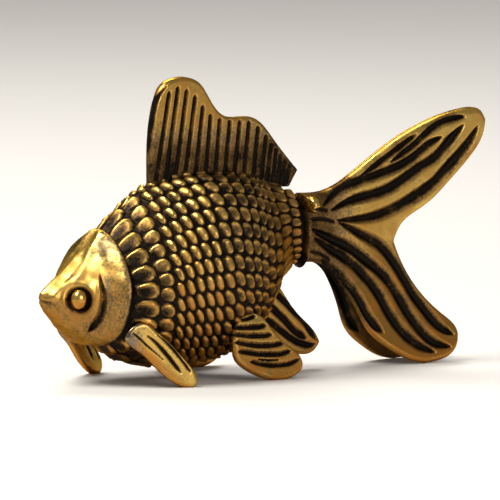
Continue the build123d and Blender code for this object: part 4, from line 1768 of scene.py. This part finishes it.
@dataclass
class Studio:
    """Pale floor, soft lights and the camera."""

    azimuth: float = math.radians(-35.0)
    elevation: float = math.radians(5.5)
    distance: float = 1.5
    target: tuple[float, float, float] = (-1.56 * MM, 0.0, 11.38 * MM)
    pixels_per_mm: float = 10.8
    picture_pixels: float = 500.0
    sensor: float = 36.0
    sight: tuple[float, float] = (0.1, 10.0)
    lamps: tuple[Lamp, ...] = (
        Lamp("key", (-0.20, 0.04, 0.32), 0.15, 1.35, (1.0, 0.98, 0.93)),
        Lamp("rim", (0.08, 0.24, 0.30), 0.16, 0.7, (1.0, 0.97, 0.92)),
        Lamp("side", (-0.06, -0.34, 0.16), 0.22, 0.40, (1.0, 0.96, 0.90)),
    )
    floor_reach: float = 1.6
    floor_colour: Colour = (0.80, 0.78, 0.75)
    floor_roughness: float = 0.7
    world_colour: Colour = (0.92, 0.90, 0.87)
    world_strength: float = 0.36

    def build(self) -> None:
        """Makes the floor, the lights, the world and the camera."""
        self._floor()
        for lamp in self.lamps:
            self._light(lamp)
        self._world()
        self._camera()

    def _floor(self) -> None:
        """Wide plain floor under the fish."""
        mesh = bpy.data.meshes.new("floor")
        corners = [(x * self.floor_reach, y * self.floor_reach, 0) for x, y in ((-1, -1), (1, -1), (1, 1), (-1, 1))]
        mesh.from_pydata(corners, [], [(0, 1, 2, 3)])
        floor = bpy.data.objects.new("floor", mesh)
        bpy.context.scene.collection.objects.link(floor)
        made = bpy.data.materials.new("pale_floor")
        made.use_nodes = True
        shader = made.node_tree.nodes["Principled BSDF"]
        shader.inputs["Base Color"].default_value = (*self.floor_colour, 1)
        shader.inputs["Roughness"].default_value = self.floor_roughness
        mesh.materials.append(made)
        floor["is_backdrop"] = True

    def _light(self, lamp: Lamp) -> None:
        """Hangs a soft light that faces the fish.

        Args:
            lamp: The light.
        """
        data = bpy.data.lights.new(lamp.name, "AREA")
        data.size, data.energy, data.color = lamp.size, lamp.power, lamp.colour
        light = bpy.data.objects.new(lamp.name, data)
        light.location = lamp.place
        way = Vector(self.target) - Vector(lamp.place)
        light.rotation_euler = way.to_track_quat("-Z", "Y").to_euler()
        bpy.context.scene.collection.objects.link(light)

    def _world(self) -> None:
        """Even pale light from all round."""
        world = bpy.data.worlds.new("studio")
        world.use_nodes = True
        background = world.node_tree.nodes["Background"]
        background.inputs["Color"].default_value = (*self.world_colour, 1)
        background.inputs["Strength"].default_value = self.world_strength
        bpy.context.scene.world = world

    def _camera(self) -> None:
        """Adds the camera, which sees the fish as in the photograph."""
        data = bpy.data.cameras.new("camera")
        data.sensor_width = self.sensor
        data.lens = self.sensor * self.pixels_per_mm * (self.distance / MM) / self.picture_pixels
        data.clip_start, data.clip_end = self.sight
        camera = bpy.data.objects.new("camera", data)
        back = Vector((
            math.sin(self.azimuth) * math.cos(self.elevation),
            -math.cos(self.azimuth) * math.cos(self.elevation),
            math.sin(self.elevation),
        ))
        camera.location = Vector(self.target) + back * self.distance
        camera.rotation_euler = (-back).to_track_quat("-Z", "Y").to_euler()
        bpy.context.scene.collection.objects.link(camera)
        bpy.context.scene.camera = camera
        bpy.context.scene.view_settings.view_transform = "Standard"


def main() -> None:
    """Builds the studio and every piece of the fish."""
    logging.basicConfig(level=logging.INFO, format="%(name)s %(message)s")
    Studio().build()
    size = FishSize.from_frame()
    Trunk(size).build()
    Head(size).build()
    fins = flank_fins(size)
    tail = TailBlade(size)
    for side in Side:
        Eye("eye_" + side.word, side).build()
        fins["pectoral_fin"].build("pectoral_fin_" + side.word, side)
        fins["pelvic_fin"].build("pelvic_fin_" + side.word, side)
        tail.build("tail_blade_" + side.word, side)
    for node in ("dorsal_fin", "anal_fin"):
        fins[node].build(node)


if __name__ == "__main__":
    main()
